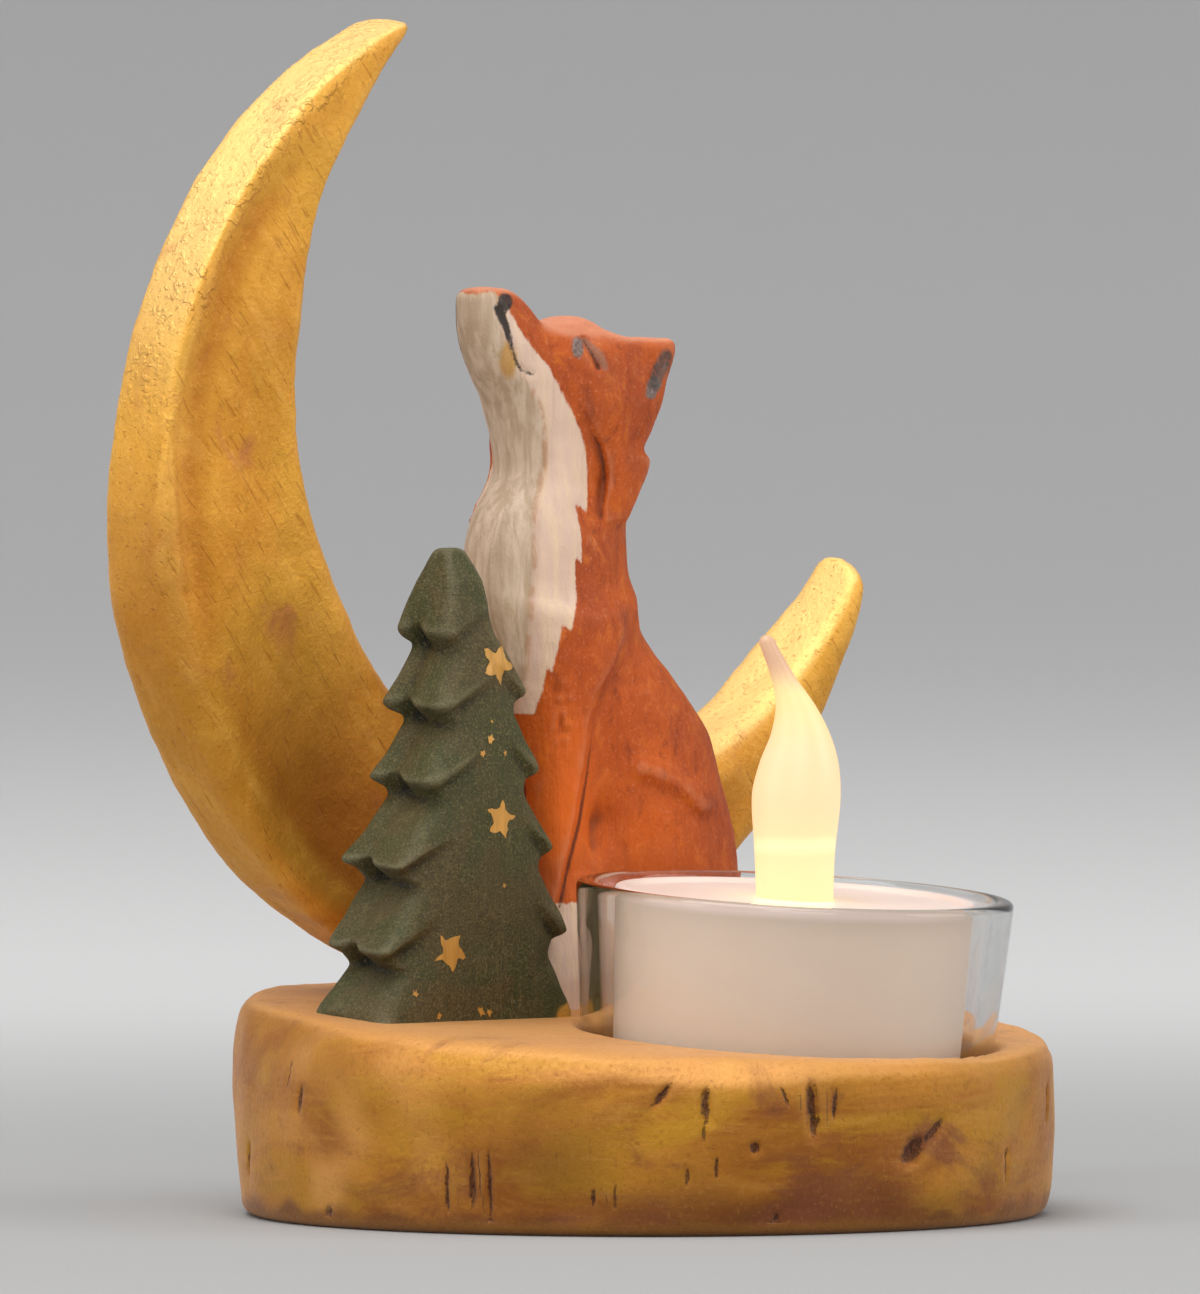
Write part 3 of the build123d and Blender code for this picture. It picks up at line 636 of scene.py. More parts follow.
basePlan = {
    "step": 0.5 * coarse, "low": (-45.0, -45.0, -1.5), "high": (45.0, 45.0, 26.5),
    "radii": (42.0, 43.0, 41.4), "radiiHeight": 25.0,  # barrel at its foot, halfway up and at that height
    "seat": (3.0, -17.27, 11.65), "recessRadius": 21.88,  # middle of the recess's floor
    "recessRound": 0.9, "recessEdge": 1.2,
    "footRound": 1.6, "topRound": 2.0, "bevel": 3.0, "bevelAngle": 195.0, "bevelSpread": 36.0,
    "facets": [(-122.0, 42.0, 28.6), (-152.0, 38.0, 31.3), (-196.0, 30.0, 35.2)],  # angle, tilt up, reach
    "facetRound": 1.2, "rimBand": (36.0, 41.0), "footBand": (0.3, 3.0),  # where the side is carved
    "carving": [(0.5, (15, 15, 11), 3), (0.18, 5, 5)],  # depth, size, seed
    "slits": [  # angle, height, half width, half height, lean, depth
        (-191.0, 13.0, 0.3, 1.5, 0.1, 0.4), (-194.5, 15.4, 0.18, 1.4, 0.1, 0.2),
        (-163.2, 4.8, 0.28, 2.6, 0.0, 0.4), (-159.3, 5.4, 0.32, 2.6, 0.0, 0.5),
        (-156.8, 5.2, 0.24, 3.4, 0.0, 0.4), (-132.8, 14.4, 0.4, 1.1, 0.7, 0.5),
        (-127.0, 13.2, 0.42, 1.7, 0.0, 0.5), (-127.3, 10.4, 0.22, 0.8, 0.0, 0.2),
        (-120.3, 9.0, 0.5, 0.5, 0.0, 0.5), (-111.9, 12.7, 0.62, 2.7, -0.1, 0.8),
        (-108.6, 13.2, 0.25, 1.6, 0.1, 0.3), (-116.1, 14.1, 0.22, 0.9, -0.4, 0.2),
        (-95.6, 8.3, 1.1, 1.3, 0.5, 0.9), (-92.0, 10.2, 0.6, 1.1, 0.9, 0.5),
        (-75.1, 6.1, 0.3, 1.7, -0.1, 0.4), (-129.5, 6.1, 0.22, 0.8, 0.0, 0.2),
        (-125.6, 6.9, 0.2, 1.1, 0.0, 0.2), (-142.2, 4.0, 0.22, 0.9, 0.0, 0.2),
        (-139.2, 4.0, 0.22, 1.2, 0.0, 0.2), (-185.0, 1.6, 0.5, 0.7, 0.0, 0.3),
        (-117.0, 1.5, 0.4, 0.8, 0.0, 0.3), (-60.0, 12.0, 0.35, 1.8, 0.1, 0.5),
        (-20.0, 8.0, 0.4, 2.2, 0.0, 0.6), (-12.0, 13.0, 0.4, 1.6, 0.1, 0.5),
        (22.0, 9.5, 0.45, 2.4, 0.0, 0.7), (48.0, 12.0, 0.4, 1.8, -0.1, 0.5),
        (75.0, 6.0, 0.4, 2.2, 0.0, 0.6), (98.0, 14.5, 0.5, 1.4, 0.2, 0.5),
        (126.0, 9.0, 0.4, 2.4, 0.0, 0.6), (152.0, 6.5, 0.4, 1.7, 0.1, 0.5)],
    "patches": [  # angle, height, half width, half height, amount
        (-110.0, 5.0, 9.0, 6.0, 0.9), (-96.0, 8.8, 6.0, 3.0, 0.8), (-73.0, 9.0, 6.0, 6.0, 0.8),
        (-127.0, 2.0, 17.0, 3.4, 0.9), (-160.0, 5.0, 4.0, 5.0, 0.5), (-191.0, 12.0, 3.0, 5.0, 0.6),
        (-116.0, 14.0, 7.0, 2.0, 0.7), (30.0, 6.0, 9.0, 4.0, 0.7), (80.0, 12.0, 8.0, 3.0, 0.6),
        (120.0, 4.0, 10.0, 3.0, 0.7), (-30.0, 4.0, 9.0, 4.0, 0.7)],
    "shade": (-115.0, 24.0),  # painted shade low on the front: angle, half width
    "dusk": (-148.0, 9.0, 8.0, 7.0, 0.5),  # painted shade patch: angle, half width, height, half height, amount
    "glow": (-182.0, 15.0, 0.62), "brim": (-118.0, 24.0, 0.8),  # painted highlight on one end and along the front rim: angle, half width, amount
    "recessGlow": 0.85, "glowFrom": 8.0,  # painted light inside the recess, above this level
}


def baseField(x, y, z, plan):
    rise = z / plan["radiiHeight"]
    foot, middle, upper = plan["radii"]
    barrel = foot * (1 - rise) * (1 - 2 * rise) + 4 * middle * rise * (1 - rise)
    barrel = barrel + upper * rise * (2 * rise - 1)
    angle = np.degrees(np.arctan2(y, x))
    away = (angle - plan["bevelAngle"] + 180) % 360 - 180
    soft = plan["topRound"] + plan["bevel"] * hump(away, 0, plan["bevelSpread"])
    top = y * slopeUp[1] + (z - baseHeight) * slopeUp[2]
    field = smoothMax(np.hypot(x, y) - barrel, top, soft)
    for facet in plan["facets"]:
        turn, lean = (math.radians(part) for part in facet[:2])
        toward = x * math.cos(turn) + y * math.sin(turn)
        cut = toward * math.cos(lean) + (z - baseHeight) * math.sin(lean) - facet[2]
        field = smoothMax(field, cut, plan["facetRound"])
    field = smoothMax(field, -z, plan["footRound"])
    ox, oy, oz = plan["seat"]
    up = (y - oy) * slopeUp[1] + (z - oz) * slopeUp[2]
    side = np.sqrt((x - ox) ** 2 + ((y - oy) * slopeBack[1] + (z - oz) * slopeBack[2]) ** 2)
    recess = np.maximum(side - plan["recessRadius"], -up)
    return smoothMax(field, -recess, plan["recessRound"])


def buildBase(plan):
    verts, quads = carvedMesh(baseField, plan)
    normals = faceNormals(verts, quads)
    fromSeat = np.hypot(verts[:, 0] - plan["seat"][0], verts[:, 1] - plan["seat"][1])
    recessed = fromSeat < plan["recessRadius"] + plan["recessEdge"]
    outer = softStep(np.hypot(verts[:, 0], verts[:, 1]), *plan["rimBand"])
    outer = np.where(recessed, 0, outer * softStep(verts[:, 2], *plan["footBand"]))
    verts = pushed(verts, normals, outer * carving(verts, plan["carving"]))
    angle, level = np.degrees(np.arctan2(verts[:, 1], verts[:, 0])), verts[:, 2]

    def along(turn):
        return ((angle - turn + 180) % 360 - 180) * math.radians(1) * plan["radii"][1]

    def near(turn, wide):
        return hump(along(turn), 0, wide)

    best, sink = np.full(len(verts), 1e9), np.zeros(len(verts))
    across, up = np.zeros(len(verts)), np.zeros(len(verts))
    for turn, height, wide, tall, lean, deep in plan["slits"]:
        a, b = (along(turn) - lean * (level - height)) / wide, (level - height) / tall
        away = np.hypot(np.maximum(np.abs(a) - 1, 0) * wide, np.maximum(np.abs(b) - 1, 0) * tall)
        nearer = (away < best) & (outer > 0.3)
        best, across, up = (np.where(nearer, new, old) for new, old in ((away, best), (a, across), (b, up)))
        sink = np.maximum(sink, deep * np.exp(-a ** 2 - b ** 4) * (outer > 0.3))
    verts = pushed(verts, normals, -sink)
    stain, ragged = np.zeros(len(verts)), softStep(wobble(verts, 6, 11), -0.6, 0.3)
    for turn, height, wide, tall, amount in plan["patches"]:
        stain = np.maximum(stain, amount * near(turn, wide) * hump(level, height, tall) * ragged)
    # darker at the foot, soil and painted shade together; painted shade low on the front and in one patch
    soilAndShade = softStep(level + 1.6 * wobble(verts, 4, 8), 3.2, 0.4)
    shade = softStep(level + 3.0 * wobble(verts, (9, 9, 5), 13), 8.0, 1.0) * near(*plan["shade"])
    turn, wide, height, tall, amount = plan["dusk"]
    dusk = amount * near(turn, wide) * hump(level, height, tall)
    # painted highlight on one end and along the front rim, painted light inside the recess
    turn, wide, amount = plan["glow"]
    glowing = amount * near(turn, wide) * softStep(wobble(verts, (7, 7, 5), 15), -0.5, 0.4)
    turn, wide, amount = plan["brim"]
    brim = amount * near(turn, wide) * softStep(normals[:, 2], 0.1, 0.5)
    inside = plan["recessGlow"] * (recessed & (level > plan["glowFrom"]))
    # the soil value holds soil and painted shade; the sun value holds painted light on top, on one end, along
    # the rim and inside the recess
    return makePiece("base", verts, quads, baseGold, "figurine", ["base"], {
        "hollow": hollows(verts, quads, 8),
        "slitAcross": across, "slitUp": up, "slitNear": softStep(-best, -1.0, -0.5),
        "soilAndShade": np.maximum.reduce([soilAndShade, shade, dusk]), "stain": stain,
        "sun": np.maximum.reduce([softStep(normals[:, 2], 0.55, 0.95), glowing, brim, inside])})


buildBase(basePlan)


# Moon, in its own plane: across, through its thickness, up

moonPlan = {
    "step": 0.45 * coarse, "low": (-56.0, -8.0, -2.5), "high": (56.0, 8.0, 110.0),
    "place": (5.3, 30.81), "radius": 53.3, "rise": 54.0,
    "hollowRadius": 45.9, "hollowPlace": (10.9, 67.8), "rimRound": 0.8,
    "footHalf": 8.5, "footHeight": 4.0, "footRound": 2.5, "sunk": 0.8, "sunkRound": 0.6,
    "thickness": ((0, 40, 50, 58, 66, 81, 90, 98, 106), (11.4, 11.3, 10.7, 9.4, 8.8, 8.9, 9.1, 8.2, 7.0)),
    "opening": (0.62, 0.785), "tipReach": 27.2, "tipRound": 2.6, "tipBow": 0.09,
    "taper": 3.6, "taperHeights": (33.0, 47.0), "taperFrom": 20.0,  # the short horn thins out at the back
    "edgeRound": 1.1, "lowRound": 2.6, "lowHeights": (62.0, 30.0),  # what the edges gain lower down
    "dishDepth": 0.85, "dishFromEdge": 3.6, "dishWidth": 2.1, "dishRoom": (7.0, 12.0),
    "dishHeights": (26.0, 46.0, 82.0, 94.0),  # the dish comes in, and goes out again
    "carving": [(0.42, 14, 2), (0.14, 4, 4), (0.06, 1.6, 6)],  # depth, size, seed
    "carvedFrom": (2.0, 8.0),  # the foot stays flat
    "stains": [  # across, up, size, amount
        (-42.2, 57.3, 1.7, 0.95), (-36.7, 39.1, 2.4, 0.85), (-38.6, 79.0, 1.2, 0.6)],
    # darkening: soil and painted shade low down, painted shade in the dish beside the ridge and on the rim,
    # less of both on the short horn
    "footSoil": 0.88, "dishSoil": 0.68, "rimSoil": 0.42, "shortHornSoil": 0.55,
}


def moonEdges(u, w, plan):
    outer = np.hypot(u, w - plan["rise"]) - plan["radius"]
    cx, cy = plan["hollowPlace"]
    return outer, plan["hollowRadius"] - np.hypot(u - cx, w - cy)


def moonDish(outer, inner, w, plan):
    start, full, fading, gone = plan["dishHeights"]
    room = softStep(-(outer + inner), *plan["dishRoom"])
    heights = softStep(w, start, full) * softStep(w, gone, fading)
    return room * hump(outer, -plan["dishFromEdge"], plan["dishWidth"]) * heights


def moonField(u, v, w, plan):
    outer, inner = moonEdges(u, w, plan)
    tip = u * plan["opening"][0] + (w - plan["rise"]) * plan["opening"][1] - plan["tipReach"]
    flat = smoothMax(outer, inner, plan["rimRound"])
    flat = smoothMax(flat, tip + plan["tipBow"] * v ** 2, plan["tipRound"])
    foot = np.maximum(np.abs(u) - plan["footHalf"], w - plan["footHeight"])
    flat = smoothMin(flat, foot, plan["footRound"])
    half = 0.5 * np.interp(w, *plan["thickness"])
    soft = plan["edgeRound"] + plan["lowRound"] * softStep(w, *plan["lowHeights"])
    soft = np.minimum(soft, 0.9 - 0.3 * np.minimum(outer + inner, 0))  # less where the crescent is narrow
    taper = plan["taper"] * softStep(w, *plan["taperHeights"]) * (u > plan["taperFrom"])
    faces = np.maximum(np.abs(v) - half, v - half + taper)
    field = smoothMax(flat, faces + plan["dishDepth"] * moonDish(outer, inner, w, plan), soft)
    return smoothMax(field, -w - plan["sunk"], plan["sunkRound"])


def buildMoon(plan):
    local, quads = carvedMesh(moonField, plan)
    normals = faceNormals(local, quads)
    free = softStep(local[:, 2], *plan["carvedFrom"])
    local = pushed(local, normals, free * carving(local, plan["carving"]))
    u, v, w = local.T
    outer, inner = moonEdges(u, w, plan)
    stain = np.zeros(len(local))
    for across, up, size, amount in plan["stains"]:
        stain = np.maximum(stain, amount * hump(u, across, size) * hump(w, up, size))
    # darker low down, soil and painted shade; painted shade in the dish beside the ridge and on the rim
    soilAndShade = plan["footSoil"] * softStep(w + 5 * wobble(local, 10, 9), 46, 10)
    soilAndShade = np.maximum(soilAndShade, plan["dishSoil"] * moonDish(outer, inner, w, plan))
    soilAndShade = soilAndShade * softStep(outer, -2.0, -5.5) * (1 + (plan["shortHornSoil"] - 1) * softStep(u, 0.0, 36.0))
    rim = plan["rimSoil"] * softStep(outer, -4.0, -1.5) * softStep(w, 66, 46) * softStep(w, 16, 40) * (u < 0)
    rough = softStep(w, 56, 70) * softStep(outer, -3.0, -0.8) * softStep(wobble(local, 7, 17), -0.4, 0.3)
    turned = u[:, None] * acrossX + v[:, None] * slopeBack + w[:, None] * slopeUp
    verts = standing(turned, plan["place"])
    return makePiece("moon", verts, quads, moonGold, "figurine", ["moon"], {
        "hollow": hollows(verts, quads, 8), "soilAndShade": np.maximum(soilAndShade, rim), "stain": stain,
        # sun: painted light on faces that look up
        "sun": softStep(normals[:, 2] - 0.4 * normals[:, 0], 0.35, 1.0), "rough": rough})


buildMoon(moonPlan)


# Tree

treePlan = {
    "step": 0.3 * coarse, "low": (-18.0, -8.0, -1.8), "high": (16.0, 8.0, 50.0),
    "place": (-20.4, 8.5), "top": 48.5, "tipHalf": 0.9, "footLeft": 13.4, "footRight": 12.0,
    # tiers: height of the lower edge, half width there, notch below it
    "leftTiers": [(5.9, 12.2, 4.1), (14.7, 10.5, 4.4), (23.4, 6.6, 3.3), (31.2, 5.1, 3.3), (38.9, 3.6, 2.4)],
    "rightTiers": [(8.0, 11.9, 3.0), (16.8, 10.1, 2.4), (24.9, 8.1, 2.6), (33.0, 6.9, 2.0)],
    "rightTop": [(36.6, 4.7), (39.2, 2.6), (45.2, 2.3)], "leftLip": 0.7, "rightLip": 1.4,
    "thick": ((0, 15, 24, 31, 39, 45, 48.5), (5.5, 5.3, 5.2, 4.6, 4.0, 2.7, 0.9)),
    "spare": ((38, 48.5), (0.9, 0.25)),  # what the rounded corners take off
    "corner": 0.42, "cornerLimits": (0.5, 1.9), "topRound": 0.6, "sunk": 1.3,
    "groove": (0.64, 0.13, 1.1, 0.7),  # place across the left face, width, depth and rise
    "skew": ((0, 7, 16, 24, 31), (1.0, 2.6, 1.8, 0.8, 0.0)),  # how far the front left corner stands out
    "leftNotch": (8.0, 0.55, 0.62), "rightNotch": (5.5, 0.75, 0.7),  # run over the faces, climb, depth share
    "notchFade": 6.5, "carving": [(0.14, 3.0, 6), (0.1, 7.0, 7)],  # depth, size, seed
    "gilt": (11.5, -0.2, 1.4, 1.2),  # dab of gold at the foot: across, up, stretch, size
}


def treeOutline(foot, tiers, lip, upper):
    rows = [(-3.0, foot), (0.0, foot)]
    for level, half, notch in tiers:
        rows += [(level - lip, half - notch), (level, half)]
    return np.array(rows + upper).T


def roundedProfile(h, rows, reach=0.8):
    return sum(np.interp(h + reach * shift, *rows) for shift in (-1, -0.6, -0.2, 0.2, 0.6, 1)) / 6


def treeField(x, y, h, plan):
    top = [(plan["top"], plan["tipHalf"])]
    spare = np.interp(h, *plan["spare"])
    thick = np.interp(h, *plan["thick"]) + 0.6 * spare + 0 * x
    corner = np.clip(plan["corner"] * thick, *plan["cornerLimits"])
    back = np.clip(0.5 + 0.5 * y / thick, 0, 1)  # 0 at the front face, 1 at the back
    place, width, depth, rise = plan["groove"]
    groove = hump(back, place, width)
    lifted = h - 0.14 * thick * back - rise * groove
    leftRows = treeOutline(plan["footLeft"], plan["leftTiers"], plan["leftLip"], top)
    rightRows = treeOutline(plan["footRight"], plan["rightTiers"], plan["rightLip"], plan["rightTop"] + top)
    left = roundedProfile(lifted, leftRows) + np.interp(h, *plan["skew"]) * (1 - back) ** 1.5
    left = left - depth * groove * softStep(h, 0.5, 4.0) * softStep(h, 44.0, 38.0)
    right = roundedProfile(h - 0.15 * thick * back, rightRows)
    cuts = []
    for level, half, notch in plan["leftTiers"]:
        cuts.append((x + half + np.interp(level, *plan["skew"]), level, notch, plan["leftNotch"]))
    for level, half, notch in plan["rightTiers"]:
        cuts.append((half - x, level, notch, plan["rightNotch"]))
    deep = 0 * (x + y + h)
    for reach, level, notch, (run, climb, share) in cuts:
        reach = np.maximum(reach, 0)
        below = level + climb * reach - h
        fade = np.clip(1 - reach / run, 0, 1) * np.clip(1 - below / plan["notchFade"], 0, 1)
        deep = np.maximum(deep, share * notch * fade * softStep(below, -0.5, 1.3))
    sides = smoothMax(-left - x, x - right, 0.5) - spare
    faces = smoothMax(-thick + deep - y, y - thick + deep, 0.5)
    field = smoothMax(sides, faces, corner)
    return smoothMax(smoothMax(field, h - plan["top"], plan["topRound"]), -h - plan["sunk"], 0.4)


def buildTree(plan):
    local, quads = carvedMesh(treeField, plan)
    local = pushed(local, faceNormals(local, quads), carving(local, plan["carving"]))
    across, up, stretch, size = plan["gilt"]
    gilt = size - np.hypot((local[:, 0] - across) / stretch, local[:, 2] - up + 0.5 * wobble(local, 1.5, 3))
    verts = standing(local, plan["place"])
    paint = treeMaterial(treePaints)
    return makePiece("tree", verts, quads, paint, "figurine", ["tree"],
                     {"hollow": hollows(verts, quads, 10), "gilt": gilt})


tree = buildTree(treePlan)


# Fox, from the middle of its foot: along X, away from its middle plane, up

foxPlan = {
    "step": 0.33 * coarse, "low": (-26.0, -25.0, -1.8), "high": (26.0, 12.0, 77.5), "place": (11.7, 15.7),
    # height, shift along X, distance from the middle, half length, half width
    "body": [
        (-4, 1.0, 0, 11.4, 6.9), (6, 1.2, 0, 12, 7.2), (17.3, 1.8, 0, 12.4, 7.3),
        (28.5, -1, 0, 12.4, 7.3), (37.5, -7.8, 0, 10.9, 7.2), (44.5, -10.7, 0, 10.2, 7),
        (51, -10.6, 0, 9.2, 6.7), (57.2, -9.2, 0, 6.8, 6.1), (63, -7.2, 0, 8.4, 6.8),
        (66.6, -6.6, 0, 8.4, 6.6), (68.8, -7.4, 0, 7.2, 6.0), (70.6, -8.0, 0, 5.8, 4.8),
        (71.7, -8.0, 0, 4.2, 3.3), (72.7, -7.8, 0, 2.4, 1.8)],
    "snout": [
        (57.2, -9.8, 0, 6.2, 4.4), (63, -11.6, 0, 6.4, 4.6), (67.5, -14.6, 0, 6.3, 4.3),
        (71, -17.1, 0, 5.3, 3.7), (73.6, -18.7, 0, 4.2, 3), (75.4, -19.8, 0, 3.1, 2.4)],
    "leg": [
        (-4, -12.4, 4.2, 3.6, 2.9), (10, -12.4, 4.2, 3.6, 2.9), (25, -11.8, 4.2, 4.4, 3.1),
        (40, -11, 4.2, 4.6, 2.9)],
    "paw": [(-4, -12.6, 4.2, 4.6, 3.2), (2.2, -12.6, 4.2, 4.5, 3.1), (4.6, -12.2, 4.2, 3.4, 2.5)],
    "haunch": [(-4, 4.4, 4, 8.4, 3.6), (8, 4.8, 4, 9, 3.6), (18, 3.6, 4, 8, 3.4), (27, 0.4, 3.8, 5, 2.4)],
    "cheek": [
        (51, -6.4, 5.3, 2.3, 1.4), (54, -5.4, 5.2, 3.1, 1.9), (57.4, -4.6, 5.0, 4.0, 2.2),
        (58.8, -5.1, 5.0, 3.4, 2.0), (61, -4.3, 4.8, 4.1, 2.3), (64.4, -3.4, 4.6, 4.6, 2.5),
        (69, -2.6, 4.2, 2.4, 1.4)],
    "ear": [
        (-4.8, 4.2, 69.1), (0.9, 5.6, 69.0), (-0.3, 5.6, 64.8), (-2.7, 5.2, 61.0)], "earThick": 1.55,
    "tail": [
        (7.3, 0.1, 3.6, 3.0), (14.9, -1.5, 3.5, 3.8), (20.1, -6.9, 3.1, 4.3), (20.7, -13.9, 2.5, 3.9),
        (18.3, -20.3, 2.0, 1.4)],
    # lines and patches, as seen square on from the front left at 45 degrees: across, up
    "mouth": [
        (-12.5, 73.2), (-12.1, 72.0), (-11.7, 71.2), (-11.3, 69.8), (-11.0, 68.4), (-10.6, 67.4),
        (-10.0, 66.6), (-8.9, 66.3)],
    "nose": (-11.8, 73.9, 0.78, 0.95), "eyeSlit": [(-3.6, 70.0), (-2.9, 68.9), (-2.0, 67.1)],
    "eyeSpot": (-4.2, 69.2, 0.65, 1.14), "lid": [(-3.4, 70.0), (-2.3, 68.7), (-1.3, 67.1)],
    "earDark": [(5.2, 68.6), (4.5, 66.9), (3.9, 65.5)], "earPale": [(4.0, 65.6), (3.6, 64.4)],
    "ochre": (-11.5, 67.7, 0.85, 1.8),
    "cheekCut": [
        (-4.4, 64.2), (-3.6, 62.3), (-2.8, 60.5), (-2.0, 58.9), (-1.5, 57.0), (-1.4, 55.5), (-1.6, 54.2),
        (-1.8, 52.6)],
    "legCut": [
        (1.5, 41.9), (1.1, 38.3), (-0.1, 35.4), (-1.8, 32.5), (-2.6, 29.3), (-3.1, 25.1), (-4.0, 19.3),
        (-5.1, 15.0), (-6.1, 10.2)],
    "haunchRidge": [(3.2, 24.7), (5.5, 23.8), (7.6, 22.6), (9.4, 20.9)], "dent": [(-1.3, 19.2), (-0.7, 17.6)],
    "chips": [(-5.7, 30.4, 1.3, 4.0), (-2.4, 50.0, 0.8, 3.0)],  # rough spots: across, up and half sizes
    "white": [
        (-11.7, 73.7), (-11.1, 72.5), (-10.4, 71.2), (-9.3, 69.6), (-8.2, 68.2), (-7.3, 67.3),
        (-6.6, 66.1), (-5.9, 64.5), (-4.9, 62.5), (-4.0, 60.6), (-3.5, 58.8), (-3.1, 56.4), (-3.2, 54.2),
        (-3.4, 51.9), (-4.4, 52.6), (-4.1, 51.1), (-3.8, 49.5), (-3.8, 46.4), (-4.6, 47.1), (-4.4, 44.7),
        (-4.3, 42.6), (-4.9, 39.4), (-5.8, 40.0), (-6.3, 37.3), (-6.9, 35.0), (-7.5, 35.9), (-8.0, 33.0),
        (-8.7, 30.7), (-9.5, 30.5), (-14, 30.5), (-26, 40), (-26, 74.7), (-17, 74.7), (-13, 75.0)],
    "tan": [
        (-12.4, 75), (-12.1, 71.2), (-11.6, 69.6), (-10.5, 66.9), (-9.4, 65.3), (-8.5, 63.8),
        (-8.0, 61.7), (-7.7, 59.5), (-7.7, 57.0), (-8.1, 55.0), (-8.6, 53.1), (-8.8, 50.1), (-8.7, 46.8),
        (-9.0, 42.6), (-9.3, 38.4), (-9.8, 33), (-26, 33), (-26, 75)],
    "cuts": [  # line, half width, heights and the depth at each
        ("haunchRidge", 1.9, (20, 25), (-0.75, -0.6)), ("dent", 3.4, (14, 20), (0.14, 0.14)),
        ("mouth", 0.5, (66, 74), (0.2, 0.35)), ("eyeSlit", 0.6, (66, 71), (0.5, 0.5))],
    "ledges": [  # line, lower side, reach of the low side, heights and the depth at each
        ("legCut", 1, 3.6, (5, 14, 34, 43), (0.0, 1.6, 1.35, 0.0)),
        ("cheekCut", -1, 2.6, (49, 51.5, 55, 59, 65), (0.0, 0.5, 0.8, 0.6, 0.0)),
        ("tan", -1, 2.2, (36, 44, 58, 63), (0.0, 0.4, 0.4, 0.0))],
    "farSide": 2.4,  # draws the far side's pattern together
    "joins": {"snout": 2.6, "ear": 1.6, "cheek": 1.1, "leg": 5.0, "paw": 1.2, "haunch": 2.2, "tail": 0.5},
    "sunk": 1.6, "carving": [(0.16, (4, 4, 7), 12), (0.07, 1.8, 14)],  # depth, size, seed
    "chipCarving": [(0.4, (0.75, 0.75, 1.1), 15)],
    "widths": {  # half widths of the painted lines, from the lower end up
        "mouth": (0.1, 0.16, 0.36, 0.5), "eyeSlit": (0.22, 0.1), "lid": (0.3, 0.6, 0.35),
        "earDark": (0.6, 0.85, 0.6), "earPale": (0.5, 0.75), "cheekCut": (-0.1, 0.14, 0.05, -0.3),
        "legCut": (0.12, 0.2, 0.08, -0.2, -0.4)},
    "sock": (10.6, -4.6), "tailTip": (-12.5, 12.0),  # where the white of the paw and the tail's tip ends
    "bright": [  # painted light on the leg and haunch: across, up, half sizes, amount
        (-5.4, 20.0, 3.4, 10.0, 1.0), (4.0, 15.0, 5.477, 5.477, 0.5)],
}


def stackField(x, m, h, rows, power=2.0, cap=1.0):
    rows = smoothRows(rows)
    shift, out, longHalf, wideHalf = (np.interp(h, rows[:, 0], rows[:, n]) for n in (1, 2, 3, 4))
    reach = ((np.abs(x - shift) / longHalf) ** power + (np.abs(m - out) / wideHalf) ** power) ** (1 / power)
    field = (reach - 1) * np.minimum(longHalf, wideHalf)
    return smoothMax(field, np.maximum(h - rows[-1, 0], rows[0, 0] - h), cap)


def coneField(x, y, h, start, end):
    ax, ay, ah, ar = start
    dx, dy, dh = (end[n] - start[n] for n in range(3))
    t = np.clip(((x - ax) * dx + (y - ay) * dy + (h - ah) * dh) / (dx * dx + dy * dy + dh * dh), 0, 1)
    away = np.sqrt((x - ax - t * dx) ** 2 + (y - ay - t * dy) ** 2 + (h - ah - t * dh) ** 2)
    return away - (ar + (end[3] - ar) * t)


def plateField(x, m, h, corners, thick):
    corners = [np.array(corner, float) for corner in corners]
    normal = np.cross(corners[1] - corners[0], corners[-1] - corners[0])
    normal /= np.linalg.norm(normal)
    off = (x - corners[0][0]) * normal[0] + (m - corners[0][1]) * normal[1] + (h - corners[0][2]) * normal[2]
    rim = None
    for start, end in zip(corners, corners[1:] + corners[:1]):
        outward = np.cross(end - start, normal)
        outward /= np.linalg.norm(outward)
        side = (x - start[0]) * outward[0] + (m - start[1]) * outward[1] + (h - start[2]) * outward[2]
        rim = side if rim is None else smoothMax(rim, side, 1.6)
    return np.sqrt(np.maximum(rim, 0) ** 2 + off ** 2) - thick


def lineOffset(across, h, points):
    ways, heights = np.array(sorted(points, key=lambda point: point[1])).T
    return across - np.interp(h, heights, ways)


def foxSight(x, y, plan):
    return (x + np.where(y > 0, plan["farSide"] * y, -y)) * math.sqrt(0.5)


def foxField(x, y, h, plan):
    m = np.abs(y)
    field = stackField(x, m, h, plan["body"], 2.2)
    masses = {
        "snout": stackField(x, m, h, plan["snout"], 2.5, 1.4),
        "ear": plateField(x, m, h, plan["ear"], plan["earThick"]),
        "cheek": stackField(x, m, h, plan["cheek"], 2.0, 0.8),
        "leg": stackField(x, m, h, plan["leg"]),
        "paw": stackField(x, m, h, plan["paw"]),
        "haunch": stackField(x, m, h, plan["haunch"], 2.0, 3.0)}
    for name, mass in masses.items():
        field = smoothMin(field, mass, plan["joins"][name])
    tail = smoothRows([(n, *row) for n, row in enumerate(plan["tail"])], 6)[:, 1:]
    for start, end in zip(tail[:-1], tail[1:]):
        field = smoothMin(field, coneField(x, y, h, start, end), plan["joins"]["tail"])
    sight = (x + m) * math.sqrt(0.5)
    for name, width, heights, depths in plan["cuts"]:
        groove = softStep(-lineDistance(sight, h, plan[name]), -width, 0)
        field = field + np.interp(h, heights, depths) * groove
    for name, side, reach, heights, depths in plan["ledges"]:
        apart = side * lineOffset(sight, h, [point for point in plan[name] if point[0] > -25])
        ledge = np.where(apart > 0, hump(np.maximum(apart, 0), 0, reach), softStep(apart, -0.7, 0))
        field = field + np.interp(h, heights, depths) * ledge * softStep(m, 1.5, 4.0)
    return np.maximum(field, -h - plan["sunk"])


